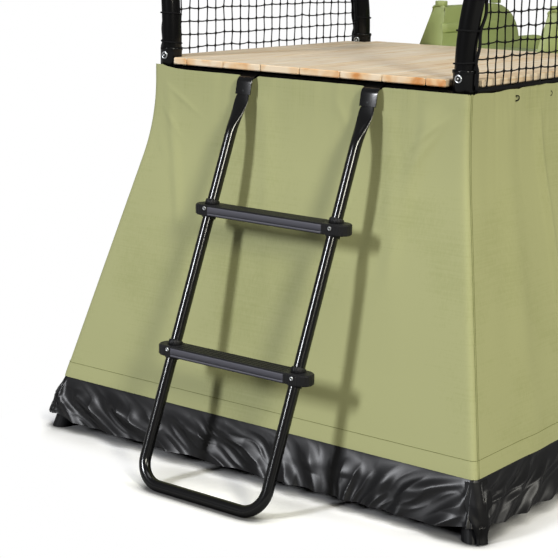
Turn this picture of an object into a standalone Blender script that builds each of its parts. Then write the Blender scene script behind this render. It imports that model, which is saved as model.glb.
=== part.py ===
# Raised play platform: steel tube frame, plank deck, side nets, tent skirt,
# hook-on ladder and slide.  Metres, +Z up, ladder towards -Y, slide towards +Y.

import math

import bmesh
import bpy
import numpy as np
from mathutils import Vector

for old_object in list(bpy.data.objects):
    bpy.data.objects.remove(old_object, do_unlink=True)

# Clearances between pieces
SEAT_GAP = 0.0003
CLOTH_GAP = 0.0003
HOOK_GAP = 0.0004

# Deck
DECK_TOP = 1.046
DECK_WIDTH = 0.996
DECK_DEPTH = 0.975
PLANK_COUNT = 8
FIRST_PLANK_TRIM = 0.015
LAST_PLANK_TRIM = 0.003
PLANK_GAP = 0.002
PLANK_THICKNESS = 0.018
PLANK_ROUND = 0.0025
CORNER_NOTCH = 0.065
BEARER_COUNT = 3
BEARER_WIDTH = 0.040
BEARER_HEIGHT = 0.025
BEARER_END_INSET = 0.098

# Frame tubes
TUBE_WALL = 0.002
TUBE_SIDES = 12
ROUND_SIDES = 24
LEG_DIAMETER = 0.048
POST_DIAMETER = 0.051
POST_INSET = 0.031
RAIL_DIAMETER = 0.038
RAIL_PROUD = 0.0015
RAIL_DROP = 0.007

# Legs: vertical at the deck, bent outwards, straight to the feet
FOOT_SPAN_X = 1.354
FOOT_SPAN_Y = 1.371
LEG_BEND_START = 0.984
LEG_BEND_RADIUS = 0.64
LEG_BEND_STEPS = 6
LEG_FOOT_HEIGHT = 0.014
FOOT_DIAMETER = 0.0515
FOOT_LENGTH = 0.062

# Corner collars and their bolts
COLLAR_DIAMETER = 0.057
COLLAR_RIM_DIAMETER = 0.061
COLLAR_RIM_HEIGHT = 0.005
COLLAR_BOTTOM = 0.986
COLLAR_TOP = 1.0705
BOLT_HEIGHT = 1.050
BOLT_HEAD_DIAMETER = 0.017
BOLT_HEAD_HEIGHT = 0.0042
BOLT_SHANK_DIAMETER = 0.008
BOLT_EDGE_SHARE = 0.4
BOLT_DOME_RADIUS_SHARE = 0.62
BOLT_DOME_HEIGHT_SHARE = 0.85
BOLT_SIDES = 12
BOLT_HOLE_CLEARANCE = 0.0002

# Side bows: upright at the deck, leaning outwards, arched from front to rear
BOW_HEIGHT = 0.86
BOW_RISE = 0.002
BOW_OUTWARD_RADIUS = 1.0
BOW_LEAN = math.radians(14.0)
BOW_POWER = 2.2
BOW_STEPS = 9
BOW_JOINT_WALL = 0.0025
BOW_JOINT_REACH = 0.85
BOW_END_GAP = 0.010
BOW_JOINT_GAP = 0.0009
BOW_JOINT_SIDES = 16

# Side nets
NET_STRAND = 0.007
NET_THICKNESS = 0.004
NET_COLUMNS = 7
NET_ROWS = 8
NET_BOTTOM = 0.004
NET_TOP = 0.780

# Tent skirt
CLOTH_THICKNESS = 0.0025
TENT_TOP = 1.010
TENT_HEM = 0.148
TENT_BULGE = 0.010
TENT_ROWS = 10
DOOR_OVERLAP = 0.050
DOOR_LAP = 0.0045
DOOR_FOLDS = 3.5
DOOR_FOLD_DEPTH = 0.009
SEAM_GAP = 0.0016

# Ground flap under the tent hem
FLAP_THICKNESS = 0.002
FLAP_TUCK = 0.012
FLAP_BOTTOM = 0.030
FLAP_CORNER_LIFT = 0.016
FLAP_FLARE = 0.007
FLAP_WAVES = 9.0
FLAP_WAVE_DEPTH = 0.005

# Ladder
LADDER_WIDTH = 0.395
LADDER_CENTRE_X = 0.032
LADDER_TUBE_DIAMETER = 0.027
LADDER_TUBE_WALL = 0.0015
LADDER_STANDOFF = 0.0415
LADDER_FOOT_REACH = 0.4475
LADDER_TOP_DROP = 0.038
LADDER_BEND_RADIUS = 0.065
LADDER_BEND_STEPS = 6
TREAD_FIRST = 0.333
TREAD_RISE = 0.347
TREAD_DEPTH = 0.056
TREAD_FRONT = 0.025
TREAD_HEIGHT = 0.028
TREAD_OVERHANG = 0.045
TREAD_EDGE = 0.003
TREAD_GROOVE_COUNT = 4
TREAD_GROOVE_WIDTH = 0.004
TREAD_GROOVE_DEPTH = 0.002
TREAD_RECESS_DEPTH = 0.018
TREAD_WALL = 0.005
HOOK_WIDTH = 0.046
HOOK_THICKNESS = 0.003
HOOK_BACK_ANGLE = math.radians(-35.0)
HOOK_LEAF_LEAN = math.radians(10.0)
HOOK_LEAF_LENGTH = 0.040
HOOK_SPIGOT_DIAMETER = 0.0224
HOOK_SPIGOT_LENGTH = 0.030
HOOK_NECK = 0.006
HOOK_ARC_STEPS = 9

# Slide
SLIDE_CENTRE_X = -0.022
SLIDE_CHANNEL = 0.330
SLIDE_WALL_BASE = 0.093
SLIDE_WALL_TOP = 0.040
SLIDE_WALL_DRAFT = 0.016
SLIDE_FLOOR_DROP = 0.006
SLIDE_HEAD_TOP = 1.165
SLIDE_HEAD_LEAN = 0.30
SLIDE_HEAD_LENGTH = 0.395
SLIDE_HEAD_FADE = 0.12
SLIDE_WALL_HEIGHT = 0.11
SLIDE_FLAT = 0.145
SLIDE_TOP_RADIUS = 0.90
SLIDE_TOP_STEPS = 10
SLIDE_SLOPE = math.radians(38.0)
SLIDE_RUN_SLOPE = math.radians(4.0)
SLIDE_RUN_RADIUS = 0.60
SLIDE_RUN_STEPS = 5
SLIDE_STRAIGHT_STEPS = 4
SLIDE_RUN_LENGTH = 0.20
SLIDE_EXIT_HEIGHT = 0.17
SLIDE_HEAD_DEPTH = 0.022
SLIDE_DEPTH = 0.055
SLIDE_BASE_LENGTH = 0.26
SLIDE_ROUND = 0.012
SLIDE_SKIN = 0.0045
SLIDE_BASE_LIFT = 0.0008
CAP_DIAMETER = 0.038
CAP_HEIGHT = 0.015
CAP_ROUND = 0.003
CAP_FIRST = 0.047
CAP_SPACING = 0.331
CAP_SIDES = 16

# Places worked out from the driving dimensions
POST_X = DECK_WIDTH / 2 - POST_INSET
POST_Y = DECK_DEPTH / 2 - POST_INSET
LEG_RADIUS = LEG_DIAMETER / 2
POST_RADIUS = POST_DIAMETER / 2
COLLAR_RADIUS = COLLAR_DIAMETER / 2
RAIL_RADIUS = RAIL_DIAMETER / 2
RAIL_X = DECK_WIDTH / 2 + RAIL_PROUD - RAIL_RADIUS
RAIL_Y = DECK_DEPTH / 2 + RAIL_PROUD - RAIL_RADIUS
DECK_UNDER = DECK_TOP - PLANK_THICKNESS
PLANK_WIDTH = (DECK_WIDTH + FIRST_PLANK_TRIM + LAST_PLANK_TRIM + PLANK_GAP) / PLANK_COUNT - PLANK_GAP
RAIL_Z = DECK_UNDER - RAIL_DROP - RAIL_RADIUS
LADDER_RADIUS = LADDER_TUBE_DIAMETER / 2
CLOTH_CORNER_RADIUS = POST_INSET + RAIL_PROUD + CLOTH_GAP + CLOTH_THICKNESS
CORNERS = {"front_left": (-1, -1), "front_right": (1, -1),
           "rear_left": (-1, 1), "rear_right": (1, 1)}


# Materials

def make_material(name, colour, roughness, metallic=0.0):
    material = bpy.data.materials.new(name)
    material.use_nodes = True
    shader = material.node_tree.nodes["Principled BSDF"]
    shader.inputs["Base Color"].default_value = (*colour, 1.0)
    shader.inputs["Roughness"].default_value = roughness
    shader.inputs["Metallic"].default_value = metallic
    return material


BLACK_STEEL = make_material("black_powder_coated_steel", (0.006, 0.006, 0.007), 0.32)
BLACK_PLASTIC = make_material("black_moulded_plastic", (0.014, 0.014, 0.015), 0.5)
PINE = make_material("pine_plank", (0.70, 0.56, 0.40), 0.6)
ZINC = make_material("zinc_plated_steel", (0.62, 0.63, 0.64), 0.3, 1.0)
NET_CORD = make_material("black_net_cord", (0.008, 0.008, 0.009), 0.8)
GREEN_CLOTH = make_material("olive_tent_cloth", (0.33, 0.37, 0.15), 0.75)
BLACK_CLOTH = make_material("black_nylon_cloth", (0.02, 0.02, 0.022), 0.45)
GREEN_PLASTIC = make_material("light_green_plastic", (0.26, 0.36, 0.12), 0.45)


# Building helpers

def make_empty(name, location, parent=None):
    empty = bpy.data.objects.new(name, None)
    bpy.context.scene.collection.objects.link(empty)
    empty.parent = parent
    empty.location = location
    return empty


def add_object(name, bm, material, parent, closed=True):
    if closed:
        bmesh.ops.recalc_face_normals(bm, faces=bm.faces)
    mesh = bpy.data.meshes.new(name)
    bm.to_mesh(mesh)
    bm.free()
    mesh.shade_smooth()
    mesh.set_sharp_from_angle(angle=math.radians(35.0))
    mesh.materials.append(material)
    new_object = bpy.data.objects.new(name, mesh)
    bpy.context.scene.collection.objects.link(new_object)
    new_object.parent = parent
    return new_object


def combine(target, other, operation="UNION"):
    other.hide_render = True
    other.display_type = "WIRE"
    boolean = target.modifiers.new(operation.lower() + "_" + other.name, "BOOLEAN")
    boolean.operation = operation
    boolean.solver = "EXACT"
    boolean.object = other


def cut(target, cutters):
    for cutter in cutters:
        combine(target, cutter, "DIFFERENCE")


def circle(radius, sides):
    angles = [2 * math.pi * step / sides for step in range(sides)]
    return [(radius * math.cos(angle), radius * math.sin(angle)) for angle in angles]


def rectangle(width, height):
    u, v = width / 2, height / 2
    return [(u, v), (-u, v), (-u, -v), (u, -v)]


def path_frames(points, up):
    # Each frame is the bisecting direction at a point and two axes across it, carried along without twist.
    frames = []
    across = Vector(up)
    for index, point in enumerate(points):
        before = points[max(index - 1, 0)]
        after = points[min(index + 1, len(points) - 1)]
        along = (point - before).normalized() + (after - point).normalized()
        along.normalize()
        across = (across - along * across.dot(along)).normalized()
        frames.append((point, across, along.cross(across)))
    return frames


def sweep(points, outer, inner=None, up=(0, 0, 1)):
    # A closed section carried along a path, solid or with an open bore of the inner section.
    bm = bmesh.new()
    frames = path_frames([Vector(point) for point in points], up)

    def rings(section):
        return [[bm.verts.new(point + u * a + v * b) for u, v in section] for point, a, b in frames]

    def skin(loops):
        for first, second in zip(loops, loops[1:]):
            for index in range(len(first)):
                after = (index + 1) % len(first)
                bm.faces.new((first[index], first[after], second[after], second[index]))

    outside = rings(outer)
    skin(outside)
    if inner is None:
        bm.faces.new(outside[0])
        bm.faces.new(outside[-1])
        return bm
    inside = rings(inner)
    skin(inside)
    skin([outside[0], inside[0]])
    skin([outside[-1], inside[-1]])
    return bm


def add_tube(name, points, diameter, wall, material, parent, up=(0, 0, 1)):
    outer = circle(diameter / 2, TUBE_SIDES)
    inner = circle(diameter / 2 - wall, TUBE_SIDES)
    return add_object(name, sweep(points, outer, inner, up), material, parent)


def add_rod(name, start, end, radius, material, parent, sides=ROUND_SIDES):
    # A plain round bar between two points, also used to cut round holes.
    start, end = Vector(start), Vector(end)
    up = (0, 0, 1) if abs((end - start).normalized().z) < 0.9 else (0, 1, 0)
    return add_object(name, sweep([start, end], circle(radius, sides), None, up), material, parent)


def revolve(profile, centre, sides):
    # A profile of (radius, height) points turned about a vertical axis through the centre.
    bm = bmesh.new()
    loops = []
    for angle in (2 * math.pi * step / sides for step in range(sides)):
        direction = Vector((math.cos(angle), math.sin(angle), 0))
        loops.append([bm.verts.new(Vector(centre) + direction * r + Vector((0, 0, z))) for r, z in profile])
    for first, second in zip(loops, loops[1:] + loops[:1]):
        for index in range(len(profile)):
            after = (index + 1) % len(profile)
            bm.faces.new((first[index], second[index], second[after], first[after]))
    return bm


def extrude_outline(outline, vector):
    # A flat outline of 3-D points pulled along a vector into a closed prism.
    bm = bmesh.new()
    low = [bm.verts.new(Vector(point)) for point in outline]
    high = [bm.verts.new(Vector(point) + Vector(vector)) for point in outline]
    bm.faces.new(low)
    bm.faces.new(high)
    for index in range(len(outline)):
        after = (index + 1) % len(outline)
        bm.faces.new((low[index], low[after], high[after], high[index]))
    return bm


def add_sheet(name, rows, outward, thickness, material, parent, keep=None):
    # A grid of outer-surface points thickened inwards; keep(i, j) leaves out the gaps of a net.
    bm = bmesh.new()
    verts = [[bm.verts.new(point) for point in row] for row in rows]
    for i in range(len(rows) - 1):
        for j in range(len(rows[0]) - 1):
            if keep is None or keep(i, j):
                bm.faces.new((verts[i][j], verts[i][j + 1], verts[i + 1][j + 1], verts[i + 1][j]))
    bmesh.ops.delete(bm, geom=[vert for vert in bm.verts if not vert.link_faces], context="VERTS")
    bm.normal_update()
    if sum(face.normal.dot(Vector(outward)) for face in bm.faces) < 0:
        bmesh.ops.reverse_faces(bm, faces=bm.faces)
    sheet = add_object(name, bm, material, parent, closed=False)
    solidify = sheet.modifiers.new("thickness", "SOLIDIFY")
    solidify.thickness = thickness
    solidify.offset = -1.0
    solidify.use_even_offset = False
    return sheet


# Legs and bows as curves

LEG_DIRECTION = Vector((FOOT_SPAN_X / 2 - POST_X, FOOT_SPAN_Y / 2 - POST_Y))
LEG_REACH = LEG_DIRECTION.length
LEG_DIRECTION = LEG_DIRECTION.normalized()
LEG_LEAN = (math.atan2(-LEG_BEND_START, LEG_REACH - LEG_BEND_RADIUS)
            + math.acos(-LEG_BEND_RADIUS / math.hypot(LEG_REACH - LEG_BEND_RADIUS, LEG_BEND_START)))


def leg_spread(z):
    # How far a leg's axis has moved outwards from the post, at height z.
    below = LEG_BEND_START - z
    if below <= 0:
        return 0.0
    if below < LEG_BEND_RADIUS * math.sin(LEG_LEAN):
        return LEG_BEND_RADIUS - math.sqrt(LEG_BEND_RADIUS ** 2 - below ** 2)
    return LEG_REACH - z * math.tan(LEG_LEAN)


def leg_place(z):
    # The leg's axis at height z, as distances from the middle along X and Y.
    spread = leg_spread(z)
    return POST_X + spread * LEG_DIRECTION.x, POST_Y + spread * LEG_DIRECTION.y


def bow_point(along, developed):
    # A point of the side surface: along Y, and at a height above the collar measured up the bent surface.
    bent = BOW_OUTWARD_RADIUS * BOW_LEAN
    turn = min(developed, bent) / BOW_OUTWARD_RADIUS
    straight = max(developed - bent, 0.0)
    outwards = BOW_OUTWARD_RADIUS * (1 - math.cos(turn)) + straight * math.sin(turn)
    upwards = BOW_OUTWARD_RADIUS * math.sin(turn) + straight * math.cos(turn)
    return Vector((POST_X + outwards, along, COLLAR_TOP + BOW_RISE + upwards))


def bow_arch(turn):
    # The arch from the collar (turn 0) to its crown (a quarter turn), in the developed side surface.
    return POST_Y * math.cos(turn) ** (2 / BOW_POWER), BOW_HEIGHT * math.sin(turn)


# The slide's lengthwise profile: flat head, bend, straight run, bend, run-out
SLIDE_START = DECK_DEPTH / 2 + SEAT_GAP
SLIDE_FLOOR = DECK_TOP - SLIDE_FLOOR_DROP


def slide_floor():
    points = [(SLIDE_START, SLIDE_FLOOR), (SLIDE_START + SLIDE_FLAT / 2, SLIDE_FLOOR)]
    y, z = SLIDE_START + SLIDE_FLAT, SLIDE_FLOOR
    for step in range(SLIDE_TOP_STEPS + 1):
        turn = SLIDE_SLOPE * step / SLIDE_TOP_STEPS
        points.append((y + SLIDE_TOP_RADIUS * math.sin(turn), z - SLIDE_TOP_RADIUS * (1 - math.cos(turn))))
    y, z = points[-1]
    bend_drop = SLIDE_RUN_RADIUS * (math.cos(SLIDE_RUN_SLOPE) - math.cos(SLIDE_SLOPE))
    run_drop = SLIDE_RUN_LENGTH * math.tan(SLIDE_RUN_SLOPE)
    straight_drop = z - SLIDE_EXIT_HEIGHT - bend_drop - run_drop
    for step in range(1, SLIDE_STRAIGHT_STEPS + 1):
        drop = straight_drop * step / SLIDE_STRAIGHT_STEPS
        points.append((y + drop / math.tan(SLIDE_SLOPE), z - drop))
    y, z = points[-1]
    for step in range(1, SLIDE_RUN_STEPS + 1):
        turn = SLIDE_SLOPE + (SLIDE_RUN_SLOPE - SLIDE_SLOPE) * step / SLIDE_RUN_STEPS
        points.append((y + SLIDE_RUN_RADIUS * (math.sin(SLIDE_SLOPE) - math.sin(turn)),
                       z - SLIDE_RUN_RADIUS * (math.cos(turn) - math.cos(SLIDE_SLOPE))))
    y, z = points[-1]
    points.append((y + SLIDE_RUN_LENGTH / 2, z - run_drop / 2))
    points.append((y + SLIDE_RUN_LENGTH, z - run_drop))
    return points


SLIDE_PROFILE = slide_floor()
LADDER_FOOT_Y = -(RAIL_Y + LADDER_FOOT_REACH)

# The whole stands on the ground, centred under its own length
DATUM = make_empty("ground_datum", (0, -(SLIDE_PROFILE[-1][0] + LADDER_FOOT_Y - LADDER_RADIUS) / 2, 0))
LADDER_PIVOT = make_empty("ladder_pivot", (0, -RAIL_Y, RAIL_Z), DATUM)
LADDER_FRAME = make_empty("ladder_frame", (0, RAIL_Y, -RAIL_Z), LADDER_PIVOT)


# Frame

def build_leg(name, sx, sy):
    heights = [DECK_UNDER - SEAT_GAP, LEG_BEND_START]
    for step in range(1, LEG_BEND_STEPS + 1):
        heights.append(LEG_BEND_START - LEG_BEND_RADIUS * math.sin(LEG_LEAN * step / LEG_BEND_STEPS))
    heights.append(LEG_FOOT_HEIGHT)
    points = []
    for z in heights:
        x, y = leg_place(z)
        points.append((sx * x, sy * y, z))
    add_tube("leg_" + name, points, LEG_DIAMETER, TUBE_WALL, BLACK_STEEL, DATUM, up=(1, 0, 0))


def build_foot(name, sx, sy):
    # A cup on the leg's end, in line with the leg and cut level with the ground.
    x, y = leg_place(LEG_FOOT_HEIGHT)
    seat = Vector((sx * x, sy * y, LEG_FOOT_HEIGHT))
    axis = Vector((sx * LEG_DIRECTION.x * math.sin(LEG_LEAN), sy * LEG_DIRECTION.y * math.sin(LEG_LEAN),
                   -math.cos(LEG_LEAN)))
    top = seat - axis * (FOOT_LENGTH - LEG_FOOT_HEIGHT)
    bottom = seat + axis * FOOT_DIAMETER
    bm = sweep([top, bottom], circle(FOOT_DIAMETER / 2, ROUND_SIDES), None, (1, 0, 0))
    geometry = list(bm.verts) + list(bm.edges) + list(bm.faces)
    sliced = bmesh.ops.bisect_plane(bm, geom=geometry, plane_co=(0, 0, 0), plane_no=(0, 0, 1),
                                    clear_inner=True)
    rim = [item for item in sliced["geom_cut"] if isinstance(item, bmesh.types.BMEdge)]
    bmesh.ops.contextual_create(bm, geom=rim)
    foot = add_object("foot_" + name, bm, BLACK_PLASTIC, DATUM)
    bore = add_rod("bore_foot_" + name, seat + axis * SEAT_GAP, top - axis * FOOT_LENGTH,
                   LEG_RADIUS + SEAT_GAP, BLACK_PLASTIC, DATUM)
    cut(foot, [bore])


def build_collar(name, sx, sy):
    leg_bore = LEG_RADIUS + SEAT_GAP
    post_bore = POST_RADIUS + SEAT_GAP
    rim_bottom = COLLAR_TOP - COLLAR_RIM_HEIGHT
    profile = [(COLLAR_RADIUS, COLLAR_BOTTOM), (COLLAR_RADIUS, rim_bottom),
               (COLLAR_RIM_DIAMETER / 2, rim_bottom), (COLLAR_RIM_DIAMETER / 2, COLLAR_TOP),
               (post_bore, COLLAR_TOP), (post_bore, DECK_UNDER),
               (leg_bore, DECK_UNDER), (leg_bore, COLLAR_BOTTOM)]
    centre = Vector((sx * POST_X, sy * POST_Y, 0))
    collar = add_object("collar_" + name, revolve(profile, centre, ROUND_SIDES), BLACK_STEEL, DATUM)
    hole_start = centre + Vector((0, -POST_RADIUS + TUBE_WALL, BOLT_HEIGHT))
    hole_end = centre + Vector((0, -COLLAR_RIM_DIAMETER, BOLT_HEIGHT))
    hole_radius = BOLT_SHANK_DIAMETER / 2 + BOLT_HOLE_CLEARANCE
    cut(collar, [add_rod("hole_collar_" + name, hole_start, hole_end, hole_radius, ZINC, DATUM, BOLT_SIDES)])


def build_collar_bolt(name, sx, sy):
    # A low domed head outside the collar, with the shank that fills the collar's wall.
    head_back = COLLAR_RADIUS + SEAT_GAP
    shank_end = POST_RADIUS + 2 * SEAT_GAP
    head_radius = BOLT_HEAD_DIAMETER / 2
    shank_radius = BOLT_SHANK_DIAMETER / 2
    profile = [(0.0, shank_end), (shank_radius, shank_end), (shank_radius, head_back),
               (head_radius, head_back),
               (head_radius, head_back + BOLT_HEAD_HEIGHT * BOLT_EDGE_SHARE),
               (head_radius * BOLT_DOME_RADIUS_SHARE, head_back + BOLT_HEAD_HEIGHT * BOLT_DOME_HEIGHT_SHARE),
               (0.0, head_back + BOLT_HEAD_HEIGHT)]
    bm = bmesh.new()
    loops = []
    for radius, reach in profile[1:-1]:
        ring = circle(radius, BOLT_SIDES)
        loops.append([bm.verts.new((sx * POST_X + u, sy * POST_Y - reach, BOLT_HEIGHT + v)) for u, v in ring])
    for first, second in zip(loops, loops[1:]):
        for index in range(BOLT_SIDES):
            after = (index + 1) % BOLT_SIDES
            bm.faces.new((first[index], first[after], second[after], second[index]))
    bm.faces.new(loops[0])
    crown = bm.verts.new((sx * POST_X, sy * POST_Y - profile[-1][1], BOLT_HEIGHT))
    for index in range(BOLT_SIDES):
        bm.faces.new((loops[-1][index], loops[-1][(index + 1) % BOLT_SIDES], crown))
    add_object("collar_bolt_" + name, bm, ZINC, DATUM)


def build_rails():
    # Four tubes between the collars, their ends coped to the collars' round walls.
    runs = {"front_rail": ((-POST_X, -RAIL_Y), (POST_X, -RAIL_Y)),
            "rear_rail": ((-POST_X, RAIL_Y), (POST_X, RAIL_Y)),
            "left_rail": ((-RAIL_X, -POST_Y), (-RAIL_X, POST_Y)),
            "right_rail": ((RAIL_X, -POST_Y), (RAIL_X, POST_Y))}
    for name, ends in runs.items():
        rail = add_tube(name, [(x, y, RAIL_Z) for x, y in ends], RAIL_DIAMETER, TUBE_WALL, BLACK_STEEL, DATUM)
        cutters = []
        for index, (x, y) in enumerate(ends):
            corner = (math.copysign(POST_X, x), math.copysign(POST_Y, y))
            low, high = (*corner, RAIL_Z - RAIL_DIAMETER), (*corner, RAIL_Z + RAIL_DIAMETER)
            radius = COLLAR_RADIUS + SEAT_GAP
            cutters.append(add_rod(f"cope_{name}_{index}", low, high, radius, BLACK_STEEL, DATUM))
        cut(rail, cutters)


def build_bearers():
    # Rectangular tubes from side rail to side rail, on which the planks lie.
    reach = RAIL_X - RAIL_RADIUS - SEAT_GAP
    z = DECK_UNDER - SEAT_GAP - BEARER_HEIGHT / 2
    first = -DECK_DEPTH / 2 + BEARER_END_INSET
    for index in range(BEARER_COUNT):
        y = first - 2 * first * index / (BEARER_COUNT - 1)
        outer = rectangle(BEARER_HEIGHT, BEARER_WIDTH)
        inner = rectangle(BEARER_HEIGHT - 2 * TUBE_WALL, BEARER_WIDTH - 2 * TUBE_WALL)
        bm = sweep([(-reach, y, z), (reach, y, z)], outer, inner)
        add_object(f"deck_bearer_{index + 1}", bm, BLACK_STEEL, DATUM)


def build_planks():
    # Planks run front to rear; the two edge planks are notched round the collars.
    left = -DECK_WIDTH / 2
    for index in range(PLANK_COUNT):
        trim = {0: FIRST_PLANK_TRIM, PLANK_COUNT - 1: LAST_PLANK_TRIM}.get(index, 0.0)
        right = left + PLANK_WIDTH - trim
        front, notch = -DECK_DEPTH / 2, -DECK_DEPTH / 2 + CORNER_NOTCH
        if index == 0:
            inner = left + CORNER_NOTCH
            outline = [(left, notch), (inner, notch), (inner, front), (right, front),
                       (right, -front), (inner, -front), (inner, -notch), (left, -notch)]
        elif index == PLANK_COUNT - 1:
            inner = right - CORNER_NOTCH
            outline = [(left, front), (inner, front), (inner, notch), (right, notch),
                       (right, -notch), (inner, -notch), (inner, -front), (left, -front)]
        else:
            outline = [(left, front), (right, front), (right, -front), (left, -front)]
        bm = extrude_outline([(x, y, DECK_UNDER) for x, y in outline], (0, 0, PLANK_THICKNESS))
        plank = add_object(f"deck_plank_{index + 1}", bm, PINE, DATUM)
        bevel = plank.modifiers.new("eased_edges", "BEVEL")
        bevel.width = PLANK_ROUND
        bevel.segments = 1
        bevel.limit_method = "ANGLE"
        left = right + PLANK_GAP


# Side bows and nets

def bow_path(sx, sy):
    points = [Vector((sx * POST_X, sy * POST_Y, DECK_UNDER + SEAT_GAP))]
    for step in range(BOW_STEPS + 1):
        along, developed = bow_arch(math.pi / 2 * step / BOW_STEPS)
        point = bow_point(along, developed)
        points.append(Vector((sx * point.x, sy * point.y, point.z)))
    points[-1].y = sy * BOW_END_GAP / 2
    return points


def build_bow(name, sx, sy):
    add_tube("bow_" + name, bow_path(sx, sy), POST_DIAMETER, TUBE_WALL, BLACK_STEEL, DATUM, up=(0, 1, 0))


def build_bow_joint(name, sx):
    # A short sleeve over the crown, where the front and rear halves of a bow meet.
    front, crown = bow_path(sx, -1)[-2:]
    reach = front + (crown - front) * (1 - BOW_JOINT_REACH)
    points = [reach, crown, Vector((crown.x, -crown.y, crown.z)), Vector((reach.x, -reach.y, reach.z))]
    bore = POST_RADIUS + BOW_JOINT_GAP
    bm = sweep(points, circle(bore + BOW_JOINT_WALL, BOW_JOINT_SIDES), circle(bore, BOW_JOINT_SIDES))
    add_object("bow_joint_" + name, bm, BLACK_PLASTIC, DATUM)


def strand_lines(count):
    # Edges of the strands across a net, as shares of its width: strand, gap, strand, ... strand.
    lines = []
    for index in range(count + 1):
        lines.append((index / count, -1 if index else 0))
        lines.append((index / count, 1 if index < count else 0))
    return lines


def build_net(name, sx):
    arch = np.array([bow_arch(math.pi / 2 * step / BOW_STEPS) for step in range(BOW_STEPS + 1)])
    slope = np.diff(arch[:, 0]) / np.diff(arch[:, 1])
    offset = (POST_RADIUS + CLOTH_GAP) * np.sqrt(1 + slope ** 2)
    rows = []
    height = NET_TOP - NET_BOTTOM
    for share, side in strand_lines(NET_ROWS):
        developed = NET_BOTTOM + height * share + side * NET_STRAND / 2
        half = float(np.min(arch[:-1, 0] + slope * (developed - arch[:-1, 1]) - offset))
        row = []
        for column, edge in strand_lines(NET_COLUMNS):
            along = half * (2 * column - 1) + edge * NET_STRAND / 2
            point = bow_point(along, developed)
            row.append(Vector((sx * (point.x + NET_THICKNESS / 2), point.y, point.z)))
        rows.append(row)
    add_sheet("net_" + name, rows, (sx, 0, 0), NET_THICKNESS, NET_CORD, DATUM,
              keep=lambda i, j: i % 2 == 0 or j % 2 == 0)


# Tent skirt

SIDES = {"front": (Vector((1, 0, 0)), Vector((0, -1, 0))), "right": (Vector((0, 1, 0)), Vector((1, 0, 0))),
         "rear": (Vector((-1, 0, 0)), Vector((0, 1, 0))), "left": (Vector((0, -1, 0)), Vector((-1, 0, 0)))}


def skirt_point(side, station, z, radius, proud=0.0):
    # A point on one side of the skirt.  Station runs from -1 to 1 between the legs; beyond that, the
    # excess is an angle turned round the leg towards the corner.
    along, outward = SIDES[side]
    leg_x, leg_y = leg_place(z)
    half, offset = (leg_x, leg_y) if side in ("front", "rear") else (leg_y, leg_x)
    if abs(station) <= 1:
        return along * (station * half) + outward * (offset + radius + proud) + Vector((0, 0, z))
    turn = abs(station) - 1
    reach = math.copysign(half + radius * math.sin(turn), station)
    return along * reach + outward * (offset + radius * math.cos(turn)) + Vector((0, 0, z))


def skirt_stations(count, first=-1, last=1):
    corner = math.pi / 4 - SEAM_GAP / 2 / (CLOTH_CORNER_RADIUS - CLOTH_THICKNESS)
    span = [first + (last - first) * index / count for index in range(count + 1)]
    if first == -1:
        span = [-1 - corner, -1 - corner / 2] + span
    if last == 1:
        span = span + [1 + corner / 2, 1 + corner]
    return span


def tent_heights():
    return [TENT_TOP + (TENT_HEM - TENT_TOP) * index / TENT_ROWS for index in range(TENT_ROWS + 1)]


def tent_bulge(station, z):
    # The taut cloth bows slightly outwards between the legs, most at half height.
    share = (z - TENT_HEM) / (TENT_TOP - TENT_HEM)
    return TENT_BULGE * math.sin(math.pi * share) * (1 - min(abs(station), 1.0) ** 2)


def build_tent_side(side):
    rows = []
    for z in tent_heights():
        rows.append([skirt_point(side, station, z, CLOTH_CORNER_RADIUS, tent_bulge(station, z))
                     for station in skirt_stations(8)])
    add_sheet("tent_" + side, rows, SIDES[side][1], CLOTH_THICKNESS, GREEN_CLOTH, DATUM)


def door_fold(station, z):
    # Soft upright folds of the slack curtain, fading out at the corners, the rail and the hem.
    share = (z - TENT_HEM) / (TENT_TOP - TENT_HEM)
    fade = math.sin(math.pi * min(max(share, 0.0), 1.0)) * (1 - station ** 6)
    return DOOR_FOLD_DEPTH * (1 - math.cos(2 * math.pi * DOOR_FOLDS * station)) / 2 * fade


def build_door(name, first, last, lap):
    # One half of the curtain on the right side; the front half laps over the rear half.
    rows = []
    for z in tent_heights():
        half = leg_place(z)[1]
        row = []
        for station in skirt_stations(14, first, last):
            inside = min(max((3 * DOOR_OVERLAP - abs(station) * half) / DOOR_OVERLAP, 0.0), 1.0)
            lift = lap * DOOR_LAP * inside
            proud = lift + (door_fold(station, z) if abs(station) < 1 else 0.0)
            row.append(skirt_point("right", station, z, CLOTH_CORNER_RADIUS, proud))
        rows.append(row)
    add_sheet("tent_right_" + name, rows, SIDES["right"][1], CLOTH_THICKNESS, GREEN_CLOTH, DATUM)


def build_flap(side):
    # The ground flap starts inside the tent hem, comes out below it and flares to a wavy lower edge.
    tucked = CLOTH_CORNER_RADIUS - CLOTH_THICKNESS - CLOTH_GAP
    rows = []
    shares = (0.0, 0.16, 0.30, 0.65, 1.0)
    for share in shares:
        row = []
        for station in skirt_stations(18):
            spot = min(abs(station), 1.0)
            bottom = FLAP_BOTTOM + FLAP_CORNER_LIFT * spot ** 12
            top = TENT_HEM + FLAP_TUCK
            z = top + (bottom - top) * share
            free = max(share - shares[1], 0.0) / (1 - shares[1])
            fade = free * (1 - spot ** 8)
            wave = FLAP_WAVE_DEPTH * fade * math.sin(FLAP_WAVES * math.pi * station + 2 * share)
            row.append(skirt_point(side, station, z, tucked + FLAP_FLARE * free, wave))
        rows.append(row)
    add_sheet("ground_flap_" + side, rows, SIDES[side][1], FLAP_THICKNESS, BLACK_CLOTH, DATUM)


# Ladder

LADDER_SLOPE = (LADDER_FOOT_REACH - LADDER_STANDOFF) / (RAIL_Z - LADDER_RADIUS)
LADDER_TILT = math.atan(LADDER_SLOPE)
STILE_UP = Vector((0, math.sin(LADDER_TILT), math.cos(LADDER_TILT)))


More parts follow.
